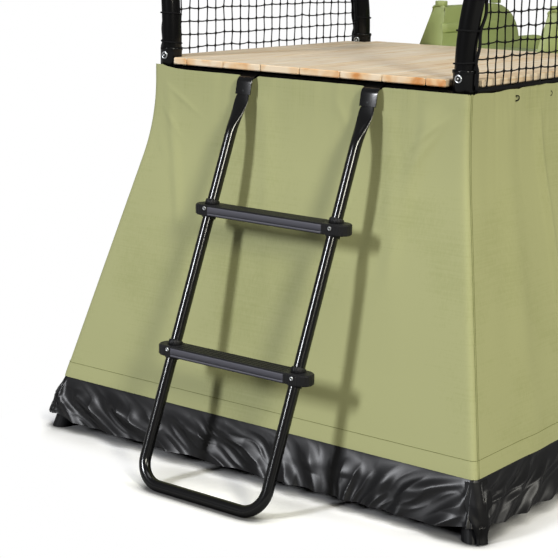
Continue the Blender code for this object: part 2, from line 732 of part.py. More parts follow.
def stile_point(side, z):
    x = LADDER_CENTRE_X + side * LADDER_WIDTH / 2
    return Vector((x, LADDER_FOOT_Y + LADDER_SLOPE * (z - LADDER_RADIUS), z))


def build_ladder_tube():
    # One tube: down the left stile, round the foot and up the right stile.
    top = RAIL_Z - LADDER_TOP_DROP
    foot = stile_point(1, LADDER_RADIUS)
    inset = LADDER_WIDTH / 2 - LADDER_BEND_RADIUS
    right = []
    for step in range(LADDER_BEND_STEPS + 1):
        turn = math.pi / 2 * step / LADDER_BEND_STEPS
        across = Vector((LADDER_CENTRE_X + inset + LADDER_BEND_RADIUS * math.sin(turn), foot.y, foot.z))
        right.append(across + STILE_UP * LADDER_BEND_RADIUS * (1 - math.cos(turn)))
    right.append(stile_point(1, top))
    left = [Vector((2 * LADDER_CENTRE_X - point.x, point.y, point.z)) for point in reversed(right)]
    up = Vector((1, 0, 0)).cross(STILE_UP)
    path = left + right
    add_tube("ladder_tube", path, LADDER_TUBE_DIAMETER, LADDER_TUBE_WALL, BLACK_STEEL, LADDER_FRAME, up)


def build_tread(name, z):
    # A moulded tread with round ends that close round the stiles, ribbed on top and hollow below.
    centre = stile_point(0, z)
    front = centre.y - TREAD_FRONT
    radius = TREAD_DEPTH / 2
    straight = LADDER_WIDTH / 2 + TREAD_OVERHANG - radius
    outline = []
    for end in (1, -1):
        for step in range(9):
            turn = math.pi * step / 8
            outline.append((LADDER_CENTRE_X + end * (straight + radius * math.sin(turn)),
                            front + radius - end * radius * math.cos(turn), z - TREAD_HEIGHT / 2))
    tread = add_object(name, extrude_outline(outline, (0, 0, TREAD_HEIGHT)), BLACK_PLASTIC, LADDER_FRAME)
    bevel = tread.modifiers.new("moulded_edge", "BEVEL")
    bevel.width = TREAD_EDGE
    bevel.segments = 1
    bevel.limit_method = "ANGLE"
    bevel.angle_limit = math.radians(60.0)
    half = LADDER_WIDTH / 2 - TREAD_DEPTH / 2
    cutters = []
    for side in (-1, 1):
        middle = stile_point(side, z)
        low, high = middle - STILE_UP * TREAD_DEPTH, middle + STILE_UP * TREAD_DEPTH
        bore = LADDER_RADIUS + SEAT_GAP
        cutters.append(add_rod(f"hole_{name}_{side}", low, high, bore, BLACK_PLASTIC, LADDER_FRAME))
    top = z + TREAD_HEIGHT / 2
    pitch = (TREAD_DEPTH - 2 * TREAD_WALL) / TREAD_GROOVE_COUNT
    for index in range(TREAD_GROOVE_COUNT):
        y = front + TREAD_WALL + pitch * (index + 0.5)
        cutters.append(add_block(f"groove_{name}_{index}", (LADDER_CENTRE_X, y, top),
                                 (2 * half, TREAD_GROOVE_WIDTH, 2 * TREAD_GROOVE_DEPTH), LADDER_FRAME))
    recess_depth = TREAD_DEPTH - 2 * TREAD_WALL
    cutters.append(add_block("recess_" + name, (LADDER_CENTRE_X, front + radius, z - TREAD_HEIGHT / 2),
                             (2 * half, recess_depth, 2 * TREAD_RECESS_DEPTH), LADDER_FRAME))
    cut(tread, cutters)


def add_block(name, centre, size, parent):
    x, y, z = centre
    dx, dy, dz = (value / 2 for value in size)
    outline = [(x + u, y + v, z - dz) for u, v in ((-dx, -dy), (dx, -dy), (dx, dy), (-dx, dy))]
    return add_object(name, extrude_outline(outline, (0, 0, 2 * dz)), BLACK_PLASTIC, parent)


def build_hook(name, side):
    # A steel strap: over the rail from behind, forwards and down as a flat leaf, with a round spigot
    # pressed into the stile's open end.
    inner = RAIL_RADIUS + HOOK_GAP
    outer = inner + HOOK_THICKNESS
    rail = Vector((0, -RAIL_Y, RAIL_Z))
    stile_end = stile_point(side, RAIL_Z - LADDER_TOP_DROP) + STILE_UP * SEAT_GAP
    leaf = Vector((0, -math.sin(HOOK_LEAF_LEAN), -math.cos(HOOK_LEAF_LEAN)))
    face = Vector((0, -math.cos(HOOK_LEAF_LEAN), math.sin(HOOK_LEAF_LEAN))) * HOOK_THICKNESS
    toe = stile_end + STILE_UP * HOOK_NECK / 2 - rail - face / 2
    toe.x = 0
    knee = toe - leaf * HOOK_LEAF_LENGTH
    start = HOOK_BACK_ANGLE
    end = math.atan2(knee.z, knee.y) - math.acos(inner / knee.length)
    under, over = [], []
    for step in range(HOOK_ARC_STEPS + 1):
        angle = start + (end - start) * step / HOOK_ARC_STEPS
        spoke = Vector((0, math.cos(angle), math.sin(angle)))
        under.append(spoke * inner)
        over.append(spoke * outer)
    lift = Vector((0, math.cos(end), math.sin(end))) * HOOK_THICKNESS
    outline = under + [knee, toe, toe + face, knee + face, knee + lift] + list(reversed(over))
    place = rail + Vector((stile_end.x - HOOK_WIDTH / 2, 0, 0))
    bm = extrude_outline([point + place for point in outline], (HOOK_WIDTH, 0, 0))
    hook = add_object("ladder_hook_" + name, bm, BLACK_STEEL, LADDER_FRAME)
    high, low = stile_end + STILE_UP * HOOK_NECK, stile_end - STILE_UP * HOOK_SPIGOT_LENGTH
    radius = HOOK_SPIGOT_DIAMETER / 2
    spigot = add_rod("spigot_" + name, high, low, radius, BLACK_STEEL, LADDER_FRAME, TUBE_SIDES)
    combine(hook, spigot)


# Slide

def smooth_step(start, width, value):
    share = min(max((value - start) / width, 0.0), 1.0)
    return share * share * (3 - 2 * share)


def slide_section(y, floor, head):
    # Half of the slide's cross-section, from the outer foot over the wall to the middle of the floor.
    end = SLIDE_PROFILE[-1][0]
    fade = smooth_step(SLIDE_START + SLIDE_HEAD_LENGTH, SLIDE_HEAD_FADE, y)
    top = SLIDE_HEAD_TOP * (1 - fade) + (floor + SLIDE_WALL_HEIGHT) * fade
    depth = SLIDE_HEAD_DEPTH + (SLIDE_DEPTH - SLIDE_HEAD_DEPTH) * smooth_step(SLIDE_START, SLIDE_FLAT * 2, y)
    base = smooth_step(end - SLIDE_BASE_LENGTH, SLIDE_BASE_LENGTH / 2, y)
    under = (floor - depth) * (1 - base) + SLIDE_BASE_LIFT * base
    inner = SLIDE_CHANNEL / 2
    inner_top = inner + SLIDE_WALL_DRAFT
    outer_top = inner_top + SLIDE_WALL_TOP
    outer = inner + SLIDE_WALL_BASE
    half = [(outer, under), (outer_top, top - SLIDE_ROUND), (outer_top - SLIDE_ROUND, top),
            (inner_top + SLIDE_ROUND, top), (inner_top, top - SLIDE_ROUND),
            (inner, floor + 2 * SLIDE_ROUND), (inner - 2 * SLIDE_ROUND, floor)]
    section = half + [(-x, z) for x, z in reversed(half)]
    lean = SLIDE_HEAD_LEAN if head else 0.0
    return [Vector((SLIDE_CENTRE_X + x, y + lean * max(z - floor, 0.0), z)) for x, z in section]


def build_slide():
    # A moulded skin, closed at both ends and open below, thickened inwards.
    bm = bmesh.new()
    loops = []
    for index, (y, z) in enumerate(SLIDE_PROFILE):
        loops.append([bm.verts.new(point) for point in slide_section(y, z, index == 0)])
    for first, second in zip(loops, loops[1:]):
        for index in range(len(first) - 1):
            bm.faces.new((first[index], second[index], second[index + 1], first[index + 1]))
    bm.faces.new(loops[0])
    bm.faces.new(list(reversed(loops[-1])))
    bm.normal_update()
    middle = len(loops[0]) // 2
    floor = [face for face in bm.faces if {loops[4][middle - 1], loops[4][middle]} <= set(face.verts)]
    if floor[0].normal.z < 0:
        bmesh.ops.reverse_faces(bm, faces=bm.faces)
    slide = add_object("slide_chute", bm, GREEN_PLASTIC, DATUM, closed=False)
    solidify = slide.modifiers.new("skin", "SOLIDIFY")
    solidify.thickness = SLIDE_SKIN
    solidify.offset = -1.0


def build_slide_caps():
    middle = SLIDE_CHANNEL / 2 + SLIDE_WALL_DRAFT + SLIDE_WALL_TOP / 2
    low = SLIDE_HEAD_TOP + SEAT_GAP
    radius = CAP_DIAMETER / 2
    for side, sign in (("left", -1), ("right", 1)):
        for index in range(2):
            centre = (SLIDE_CENTRE_X + sign * middle, SLIDE_START + CAP_FIRST + CAP_SPACING * index)
            bm = bmesh.new()
            rings = []
            high = low + CAP_HEIGHT
            profile = ((radius, low), (radius, high - CAP_ROUND), (radius - CAP_ROUND, high))
            for r, z in profile:
                ring = circle(r, CAP_SIDES)
                rings.append([bm.verts.new((centre[0] + u, centre[1] + v, z)) for u, v in ring])
            for first, second in zip(rings, rings[1:]):
                for spot in range(CAP_SIDES):
                    after = (spot + 1) % CAP_SIDES
                    bm.faces.new((first[spot], first[after], second[after], second[spot]))
            bm.faces.new(rings[0])
            bm.faces.new(rings[-1])
            add_object(f"slide_cap_{side}_{index + 1}", bm, GREEN_PLASTIC, DATUM)


# Assembly

for corner_name, (corner_x, corner_y) in CORNERS.items():
    build_leg(corner_name, corner_x, corner_y)
    build_foot(corner_name, corner_x, corner_y)
    build_collar(corner_name, corner_x, corner_y)
    build_collar_bolt(corner_name, corner_x, corner_y)
    build_bow(corner_name, corner_x, corner_y)
build_rails()
build_bearers()
build_planks()
for side_name, side_sign in (("left", -1), ("right", 1)):
    build_bow_joint(side_name, side_sign)
    build_net(side_name, side_sign)
for side_name in ("front", "left", "rear"):
    build_tent_side(side_name)
build_door("front", -1, DOOR_OVERLAP / POST_Y, 1)
build_door("rear", -DOOR_OVERLAP / POST_Y, 1, 0)
for side_name in SIDES:
    build_flap(side_name)
build_ladder_tube()
build_tread("tread_lower", TREAD_FIRST)
build_tread("tread_upper", TREAD_FIRST + TREAD_RISE)
build_hook("left", -1)
build_hook("right", 1)
build_slide()
build_slide_caps()
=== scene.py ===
import math
from functools import partial

import bpy
import numpy as np
from mathutils import Matrix, Vector


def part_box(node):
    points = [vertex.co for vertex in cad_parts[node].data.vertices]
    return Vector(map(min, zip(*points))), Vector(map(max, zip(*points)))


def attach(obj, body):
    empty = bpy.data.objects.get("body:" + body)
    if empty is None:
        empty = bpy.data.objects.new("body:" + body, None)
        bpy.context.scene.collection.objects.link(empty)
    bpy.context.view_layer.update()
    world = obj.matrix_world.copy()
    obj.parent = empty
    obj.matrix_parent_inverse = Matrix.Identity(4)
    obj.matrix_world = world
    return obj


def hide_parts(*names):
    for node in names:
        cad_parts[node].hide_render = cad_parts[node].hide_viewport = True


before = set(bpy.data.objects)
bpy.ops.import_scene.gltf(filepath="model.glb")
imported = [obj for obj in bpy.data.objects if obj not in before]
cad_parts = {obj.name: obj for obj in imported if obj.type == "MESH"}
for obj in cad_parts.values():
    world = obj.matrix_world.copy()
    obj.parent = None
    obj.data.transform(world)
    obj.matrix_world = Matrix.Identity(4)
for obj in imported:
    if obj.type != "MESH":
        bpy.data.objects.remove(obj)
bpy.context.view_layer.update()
scene = bpy.context.scene

# The tower's middle and deck height, read from a middle plank; the shapes below are worked out round them.
towerY = sum(corner.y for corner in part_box("deck_plank_4")) / 2
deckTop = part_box("deck_plank_4")[1].z
post = dict(x=0.467, y=0.4565, radius=0.0255, collar=0.0285)
rail = dict(y=0.47, z=1.002)
leftRight = (("left", -1), ("right", 1))
fourCorners = [(f"{end}_{side}", sx, sy)
               for end, sy in (("front", -1), ("rear", 1)) for side, sx in leftRight]
xAxis = np.array([1.0, 0, 0])
upAxis, frontAxis = (0, 0, 1), (0, -1, 0)


# Small tools

def hexColour(text):
    # sRGB hex to the linear colour that shaders take.
    channels = [int(text[i:i + 2], 16) / 255 for i in (1, 3, 5)]
    return [c / 12.92 if c <= 0.04045 else ((c + 0.055) / 1.055) ** 2.4 for c in channels] + [1.0]


def feed(socket, value):
    # Another node's output is linked; a plain value is set.
    if isinstance(value, bpy.types.NodeSocket):
        socket.id_data.links.new(value, socket)
    else:
        socket.default_value = value


def addNode(tree, kind, *values, out=0, **settings):
    # Values go to the sockets in order, settings to an attribute or socket by name; gives the output named.
    node = tree.nodes.new("ShaderNode" + kind)
    for key, value in settings.items():
        if hasattr(node, key):
            setattr(node, key, value)
        else:
            feed(node.inputs[key.replace("_", " ")], value)
    for socket, value in zip(node.inputs, values):
        feed(socket, value)
    return node.outputs[out]


def newMaterial(name, **sockets):
    material = bpy.data.materials.new(name)
    material.use_nodes = True
    node = partial(addNode, material.node_tree)
    shader = material.node_tree.nodes["Principled BSDF"]
    for key, value in sockets.items():
        shader.inputs[key.replace("_", " ")].default_value = value
    return material, node, shader, node("TexCoord", out="Object")


def ramp(source, *stops):
    # Colours in hex, blended between their places.
    node = addNode(source.id_data, "ValToRGB", source).node
    elements = node.color_ramp.elements
    while len(elements) < len(stops):
        elements.new(0.5)
    for element, (place, colour) in zip(elements, stops):
        element.position = place
        element.color = hexColour(colour)
    return node.outputs["Color"]


def mixColours(share, first, second, blend="MIX"):
    node = addNode(first.id_data, "Mix", share, data_type="RGBA", blend_type=blend).node
    feed(node.inputs[6], first)
    feed(node.inputs[7], second)
    return node.outputs[2]


def bump(shader, height, distance, strength):
    normal = addNode(shader.id_data, "Bump", Distance=distance, Strength=strength, Height=height)
    feed(shader.inputs["Normal"], normal)


def addMesh(name, verts, faces, material, body="tower"):
    # One smooth mesh with its material, riding on its body.
    mesh = bpy.data.meshes.new(name)
    mesh.from_pydata(np.asarray(verts, float).reshape(-1, 3).tolist(), [], [list(map(int, f)) for f in faces])
    mesh.polygons.foreach_set("use_smooth", [True] * len(mesh.polygons))
    mesh.materials.append(material)
    mesh.update()
    piece = bpy.data.objects.new(name, mesh)
    scene.collection.objects.link(piece)
    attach(piece, body)
    return piece


def gridFaces(rows, columns, loop=False, start=0):
    i, j = np.meshgrid(np.arange(rows - 1), np.arange(columns if loop else columns - 1), indexing="ij")
    k = (j + 1) % columns
    quads = stacked(i * columns + j, i * columns + k, (i + 1) * columns + k, (i + 1) * columns + j)
    return start + quads.reshape(-1, 4)


def cappedFaces(rows, columns, loop=True, start=0):
    # The grid's quads and one face over each end.
    lastRow = start + (rows - 1) * columns
    return gridFaces(rows, columns, loop, start).tolist() + [
        list(range(start + columns - 1, start - 1, -1)), list(range(lastRow, lastRow + columns))]


def addGrid(name, points, material, body="tower", loop=False, flip=False):
    # A whole array of surface points, rows by columns, made into quads.
    faces = gridFaces(*points.shape[:2], loop)
    return addMesh(name, points, faces[:, ::-1] if flip else faces, material, body)


def stacked(*axes):
    # Coordinates of any shapes that fit together, made into one array of points.
    return np.stack(np.broadcast_arrays(*axes), -1)


def unitRows(rows):
    return rows / np.linalg.norm(rows, axis=1)[:, None]


def tubeRings(path, radius, sides, up):
    # A circle carried along a path with axes that don't twist; the radius may change along it.
    path = np.asarray(path, float)
    angles = np.arange(sides) * 2 * np.pi / sides
    across = np.array(up, float)
    rings = []
    steps = unitRows(np.gradient(path, axis=0))
    for point, along, size in zip(path, steps, np.broadcast_to(radius, len(path))):
        across = across - along * (across @ along)
        across /= np.linalg.norm(across)
        other = np.cross(along, across)
        rings.append(point + size * (np.cos(angles)[:, None] * across + np.sin(angles)[:, None] * other))
    return np.array(rings)


def addTubes(name, paths, radius, sides, material, up=upAxis, caps=True):
    # Several round bars or cords as one mesh; the radius is one number, or one array for each path.
    verts, faces, start = [], [], 0
    for index, path in enumerate(paths):
        rings = tubeRings(path, radius[index] if isinstance(radius, list) else radius, sides, up)
        verts.append(rings.reshape(-1, 3))
        faces += cappedFaces(len(rings), sides, True, start)[:None if caps else -2]
        start += len(rings) * sides
    return addMesh(name, np.concatenate(verts), faces, material)


def addTurned(name, profile, place, axis, material, body="tower", sides=48):
    # A profile of (radius, height) pairs turned about Z, then placed with its own Z along the axis.
    angles = np.arange(sides) * 2 * np.pi / sides
    profile = np.asarray(profile, float)
    ring = stacked(np.cos(angles), np.sin(angles), 0)
    points = profile[:, 0, None, None] * ring[None] + profile[:, 1, None, None] * np.array([0, 0, 1.0])
    basis = np.array(Vector(axis).to_track_quat("Z", "Y").to_matrix())
    return addGrid(name, points @ basis.T + np.asarray(place, float), material, body, loop=True)


def smoothStep(low, high, value):
    share = np.clip((value - low) / (high - low), 0, 1)
    return share * share * (3 - 2 * share)


def softNoise(shape, cells, seed):
    # Smooth random heights from -1 to 1: a coarse random grid read with smoothed steps between its points.
    table = np.random.default_rng(seed).uniform(-1, 1, (cells[0] + 2, cells[1] + 2))
    u = np.linspace(0, cells[0], shape[0])[:, None] * np.ones(shape[1])[None]
    v = np.linspace(0, cells[1], shape[1])[None] * np.ones(shape[0])[:, None]
    i, j = u.astype(int), v.astype(int)
    a, b = smoothStep(0, 1, u - i), smoothStep(0, 1, v - j)
    return (table[i, j] * (1 - a) * (1 - b) + table[i + 1, j] * a * (1 - b)
            + table[i, j + 1] * (1 - a) * b + table[i + 1, j + 1] * a * b)


def rounded(corners, radius, steps=5):
    # Replaces each inner corner of a polyline by an arc-like curve.
    line = [corners[0]]
    for before, corner, after in zip(corners, corners[1:], corners[2:]):
        a, b = before - corner, after - corner
        cut = min(radius, 0.45 * np.linalg.norm(a), 0.45 * np.linalg.norm(b))
        a, b = corner + a / np.linalg.norm(a) * cut, corner + b / np.linalg.norm(b) * cut
        for t in np.linspace(0, 1, steps):
            line.append((1 - t) ** 2 * a + 2 * t * (1 - t) * corner + t * t * b)
    line.append(corners[-1])
    return np.array(line)


def sheetSpan(points):
    # Measured along the cloth: the width of each row and the mean height.
    width = np.linalg.norm(np.diff(points, axis=1), axis=2).sum(1)
    return width, np.linalg.norm(np.diff(points, axis=0), axis=2).sum(0).mean()


# Materials

def powderCoat(name, colour, coat, coatRoughness):
    # Black coat on steel: hardly any body colour, a clear top with thin hard highlights, a faint orange peel.
    material, node, shader, coords = newMaterial(
        name, Base_Color=hexColour(colour), Roughness=0.4, Specular_IOR_Level=0.04, Coat_Weight=coat,
        Coat_Roughness=coatRoughness)
    bump(shader, node("TexNoise", coords, Scale=420.0, Detail=2.0), 0.00006, 0.05)
    return material


def mouldedPlastic(name, colour, roughness, gloss, grain):
    # Injection moulded plastic: an even satin surface with a fine eroded grain and slow changes of sheen.
    material, node, shader, coords = newMaterial(name, Base_Color=hexColour(colour), Specular_IOR_Level=gloss)
    noise = node("TexNoise", coords, Scale=900.0, Detail=3.0)
    slow = node("TexNoise", coords, Scale=12.0, Detail=2.0)
    sheen = node("MapRange", slow, To_Min=roughness - 0.07, To_Max=roughness + 0.07)
    feed(shader.inputs["Roughness"], sheen)
    bump(shader, noise, grain, 0.6)
    return material


def hatchedPlastic(name, colour):
    # Moulded tread plastic: dull black with a diamond hatch of 5 mm ridges.
    material, node, shader, coords = newMaterial(name, Base_Color=hexColour(colour), Roughness=0.45,
                                                 Specular_IOR_Level=0.25)
    ridges = []
    for turn in (math.radians(45), math.radians(-45)):
        slanted = node("Mapping", coords, Rotation=(0.0, 0.0, turn))
        ridges.append(node("TexWave", slanted, out="Fac", bands_direction="X", Scale=62.0))
    hatch = node("Math", *ridges, operation="MAXIMUM")
    bump(shader, hatch, 0.0008, 0.9)
    # On the upper faces the hatch is drawn into the colour as well: the ridges paler and the hollows darker
    # than the rest.
    upward = node("SeparateXYZ", node("NewGeometry", out="True Normal"), out="Z")
    hatchOnTop = node("Math", hatch, upward, operation="MULTIPLY")
    feed(shader.inputs["Base Color"], ramp(hatchOnTop, (0.0, colour), (0.5, "#0C0C0D"), (0.9, "#2B2B2E")))
    return material


def planedPine(index):
    # Planed pine board: cream wood with tan grain lines along it, a few small knots, warmer sawn ends.
    material, node, shader, coords = newMaterial(f"pine_planed_board_{index}", Roughness=0.6)
    shift = node("Mapping", coords, Location=(0.37 * index, 1.7 * index, 0.23 * index), Scale=(1, 0.045, 1))
    drift = node("TexNoise", shift, Scale=14.0, Detail=2.0)
    grain = node("TexNoise", shift, Scale=95.0, Detail=4.0, Roughness=0.6, Distortion=0.4)
    lines = ramp(grain, (0.3, "#D8B98E"), (0.48, "#EBDCC4"), (0.72, "#F2E9DB"))
    tone = ramp(drift, (0.32, "#F8EBD8"), (0.62, "#FFFEFC"))
    board = mixColours(0.8, lines, tone, "MULTIPLY")
    spots = node("Mapping", coords, Location=(0.21 * index, 0.53 * index, 0), Scale=(1.6, 0.8, 0.02))
    knots = node("TexVoronoi", spots, Scale=4.2)
    inKnot = node("MapRange", knots, From_Min=0.055, From_Max=0.025, To_Min=0.0, To_Max=0.8)
    knotted = mixColours(inKnot, board, hexColour("#B07A4C"))
    # Sawn ends: the same rings cut across, cream with warm patches about 50 mm wide.
    rings = node("TexNoise", shift, Scale=17.0, Detail=3.0, Roughness=0.35, Distortion=0.5)
    ends = ramp(rings, (0.34, "#D58F4C"), (0.47, "#EBC596"), (0.62, "#F3DFC2"))
    facing = node("SeparateXYZ", node("NewGeometry", out="Normal"), out="Y")
    facing = node("Math", facing, operation="ABSOLUTE")
    onEnd = node("Math", facing, 0.7, operation="GREATER_THAN")
    feed(shader.inputs["Base Color"], mixColours(onEnd, knotted, ends))
    bump(shader, grain, 0.0003, 0.3)
    return material


def wovenCloth(name, lit, deep, roughness, gloss, thread):
    # Woven cloth: threads along and up the panel, each a little lighter or darker, in a slowly changing tone.
    material, node, shader, coords = newMaterial(name, Roughness=roughness, Specular_IOR_Level=gloss)
    slow = node("TexNoise", coords, Scale=4.0, Detail=3.0)
    threads = []
    for stretch in ((9.0, 9.0, thread), (thread, thread, 9.0)):
        way = node("Mapping", coords, Scale=stretch)
        threads.append(node("TexNoise", way, Scale=1.0, Detail=3.0))
    weave = node("Math", *threads, operation="ADD")
    blend = node("Math", weave, 0.5, slow, operation="MULTIPLY_ADD")
    feed(shader.inputs["Base Color"], ramp(blend, (0.6, deep), (1.4, lit)))
    bump(shader, weave, 0.0002, 0.08)
    return material


def platedMetal(name, colour, roughness):
    # Plated steel: bright grey metal whose very fine grain softens its highlights.
    material, node, shader, coords = newMaterial(name, Base_Color=hexColour(colour), Metallic=1.0,
                                                 Roughness=roughness)
    bump(shader, node("TexNoise", coords, Scale=600.0), 0.00005, 0.4)
    return material


blackSteel = powderCoat("steel_black_powder_coated", "#080809", 0.4, 0.12)
glossSteel = powderCoat("steel_black_gloss_painted", "#050506", 1.0, 0.16)
# A matt copy of the black for places that stand in for shade: painted shade.
shadeMattSteel = powderCoat("steel_black_matt_painted_shade", "#060607", 0.0, 0.3)
leafSteel = powderCoat("steel_black_enamelled", "#08080A", 1.0, 0.2)
blackPlastic = mouldedPlastic("plastic_black_moulded", "#131315", 0.45, 0.25, 0.0002)
platePlastic = mouldedPlastic("plastic_dark_grey_moulded", "#585861", 0.42, 0.3, 0.0003)
treadPlastic = hatchedPlastic("plastic_black_moulded_hatched", "#18181A")
greenPlastic = mouldedPlastic("plastic_light_green_blow_moulded", "#98A56A", 0.42, 0.4, 0.0002)
zinc = platedMetal("steel_zinc_plated", "#CFD2D4", 0.3)
netCord = mouldedPlastic("cord_black_braided", "#101012", 0.8, 0.15, 0.0006)
olive = wovenCloth("cloth_olive_woven", "#ADAF80", "#A1A473", 0.88, 0.2, 260.0)
oliveThread = mouldedPlastic("thread_olive_sewn", "#6B6F40", 0.9, 0.1, 0.0002)
blackNylon = wovenCloth("nylon_black_coated", "#131315", "#0E0E0F", 0.36, 0.38, 420.0)
lining = wovenCloth("nylon_black_plain", "#0C0C0E", "#080809", 0.6, 0.2, 420.0)
print("materials")

# The CAD pieces that keep their shape take their finish here, by how their names start.
finishes = (
    (blackSteel, ("leg", "deck_bearer", "bow_front", "bow_rear", "collar_f", "collar_r", "ladder")),
    (treadPlastic, "tread"), (zinc, "collar_bolt"), (greenPlastic, "slide"), (olive, "tent"),
    (netCord, "net"), (blackNylon, "ground_flap"))
for name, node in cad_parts.items():
    if name.startswith("deck_plank"):
        finish = planedPine(int(name[-1]))
    elif name.endswith("rail"):
        finish = blackSteel
    else:
        finish = next((material for material, start in finishes if name.startswith(start)), blackPlastic)
    node.data.materials.clear()
    node.data.materials.append(finish)


# Side bows

bow = dict(
    height=0.86, base=1.0725, bend=1.0, lean=math.radians(14), power=2.2, sides=40, steps=121, endSteps=6,
    belowDeck=0.017, endGap=0.002, sleeve=0.003, sleeveSteps=8)


def sideX(rise):
    # Outward lean of the side surface, with the height it reaches: an arc, then a straight lean.
    turn = np.minimum(rise, bow["bend"] * bow["lean"]) / bow["bend"]
    straight = np.maximum(rise - bow["bend"] * bow["lean"], 0)
    return (bow["bend"] * (1 - np.cos(turn)) + straight * np.sin(turn),
            bow["bend"] * np.sin(turn) + straight * np.cos(turn))


def archHalf(rise):
    # Half width of the arch at a height along the side surface: a superellipse.
    return post["y"] * np.clip(1 - (rise / bow["height"]) ** 2, 0, 1) ** (1 / bow["power"])


def bowPath(sign):
    # The tube's axis: up from the front collar, over the superellipse, down to the rear collar.
    turn = np.linspace(-np.pi / 2, np.pi / 2, bow["steps"])
    along = np.sign(turn) * post["y"] * np.abs(np.sin(turn)) ** (2 / bow["power"])
    out, up = sideX(bow["height"] * np.cos(turn))
    arch = stacked(sign * (post["x"] + out), towerY + along, bow["base"] + up)
    ends = np.linspace(deckTop - bow["belowDeck"], bow["base"] - bow["endGap"], bow["endSteps"])
    front = np.array([[sign * post["x"], towerY - post["y"], z] for z in ends])
    return np.concatenate([front, arch, front[::-1] + [0, 2 * post["y"], 0]])


for side, sign in leftRight:
    path = bowPath(sign)
    half = len(path) // 2
    for end, part in (("front", path[:half + 1]), ("rear", path[half:])):
        tube = addTubes(f"bow_tube_{end}_{side}", [part], post["radius"], bow["sides"], blackSteel, (0, 1, 0))
        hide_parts(f"bow_{end}_{side}")
    crown = path[half - bow["sleeveSteps"]:half + bow["sleeveSteps"] + 1]
    radius = post["radius"] + bow["sleeve"]
    sleeve = addTubes("bow_sleeve_" + side, [crown], radius, bow["sides"], blackPlastic)
    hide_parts("bow_joint_" + side)
print("bows")

# Corner collars with their bolts, as (radius, height) profiles

collar = dict(bottom=0.986, top=1.0705, bolt=1.05, bore=0.0246, ledge=0.04, play=0.0004, sides=64)
wide, low, high = post["collar"], collar["bottom"], collar["top"]
bore, mouth, ledge = collar["bore"], post["radius"] + collar["play"], low + collar["ledge"]
profile = [(bore, low), (wide - 0.001, low), (wide, low + 0.001), (wide, high - 0.012),
           (wide + 0.0004, high - 0.009), (wide + 0.0018, high - 0.007), (wide + 0.002, high - 0.002),
           (wide + 0.001, high - 0.0003), (wide - 0.0005, high), (mouth, high), (mouth, ledge), (bore, ledge),
           (bore, low)]
arc = [(0.0031 * math.cos(t), 0.0027 + 0.0028 * math.sin(t)) for t in np.linspace(0, 1.45, 7)]
bolt = dict(
    ring=[(0, 0.0002), (0.0102, 0.0002), (0.0102, 0.0016), (0.0095, 0.0022), (0.0062, 0.0024),
          (0.006, 0.0012), (0, 0.0012)],
    cup=[(0, 0.0013), (0.0058, 0.0013), (0.0058, 0.003), (0.005, 0.0036), (0.0036, 0.0037), (0.0034, 0.0026),
         (0, 0.0026)],
    dome=[(0, 0.0027), *arc, (0, 0.0055)])
for corner, sx, sy in fourCorners:
    middle = (sx * post["x"], towerY + sy * post["y"], 0)
    piece = addTurned("collar_turned_" + corner, profile, middle, upAxis, blackSteel, sides=collar["sides"])
    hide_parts("collar_" + corner)
    place = np.array(middle) + [0, -post["collar"], collar["bolt"]]
    washer = addTurned("bolt_ring_" + corner, bolt["ring"], place, frontAxis, zinc)
    addTurned("bolt_cup_" + corner, bolt["cup"], place, frontAxis, blackPlastic)
    addTurned("bolt_dome_" + corner, bolt["dome"], place, frontAxis, zinc)
    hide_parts("collar_bolt_" + corner)
print("collars")

# Side nets: upright and level cords with knots, a border cord, and lacing round the bow

net = dict(
    pitch=0.0375, rowShare=0.96, firstRow=0.004, cord=0.0019, knot=0.0018, knotLength=0.003, step=0.0032,
    border=0.0042, slack=0.0045, low=1.022, topGap=0.031, outside=0.5045, clear=0.005, wander=0.0024,
    sag=0.0008, lacing=0.077, lace=0.0023, firstLace=0.0135, laceEnd=0.004, seed=11, up=(0.9, 0.1, 0.3))


def netBorder(rise):
    # The net's edge lies on the tube's inner side up the arch, turns to its outer side at the deck, and bows
    # out between the lacing points.
    up = np.maximum(rise, 0)
    delta = 1e-3
    slope = (archHalf(up + delta) - archHalf(up - delta)) / (2 * delta)
    reach = post["radius"] + net["border"] + net["clear"] * smoothStep(0.012, -0.004, rise)
    between = np.sin(np.pi * (up - net["firstLace"]) / net["lacing"]) ** 2
    reach = reach + net["slack"] * between * smoothStep(0.0, 0.02, up)
    pulled = np.clip((net["outside"] - post["x"] - sideX(up)[0]) / (net["outside"] - post["x"]), 0, 1)
    turn = np.pi / 2 * pulled ** 1.5
    half = archHalf(up) - reach * np.cos(turn) * np.sqrt(1 + slope ** 2)
    return half, reach * np.sin(turn)


def netPoint(sign, along, rise):
    # The net hangs between the bows, drawn outside the deck edge low down, and meets its edge at the posts.
    out, up = sideX(np.maximum(rise, 0))
    up = np.where(rise < 0, rise, up)
    half, edge = netBorder(rise)
    flat = np.maximum(net["outside"] - post["x"] - out, 0)
    near = np.clip(np.abs(along) / np.maximum(half, 1e-6), 0, 1) ** 10
    x = post["x"] + out + flat * (1 - near) + edge * near
    return stacked(sign * x, towerY + along, bow["base"] + up)


def knotSize(path, marks):
    # Cord radius with a swelling at each crossing.
    gap = np.min(np.abs(path[:, None] - marks[None]), axis=1)
    return net["cord"] + net["knot"] * np.exp(-(gap / net["knotLength"]) ** 2)


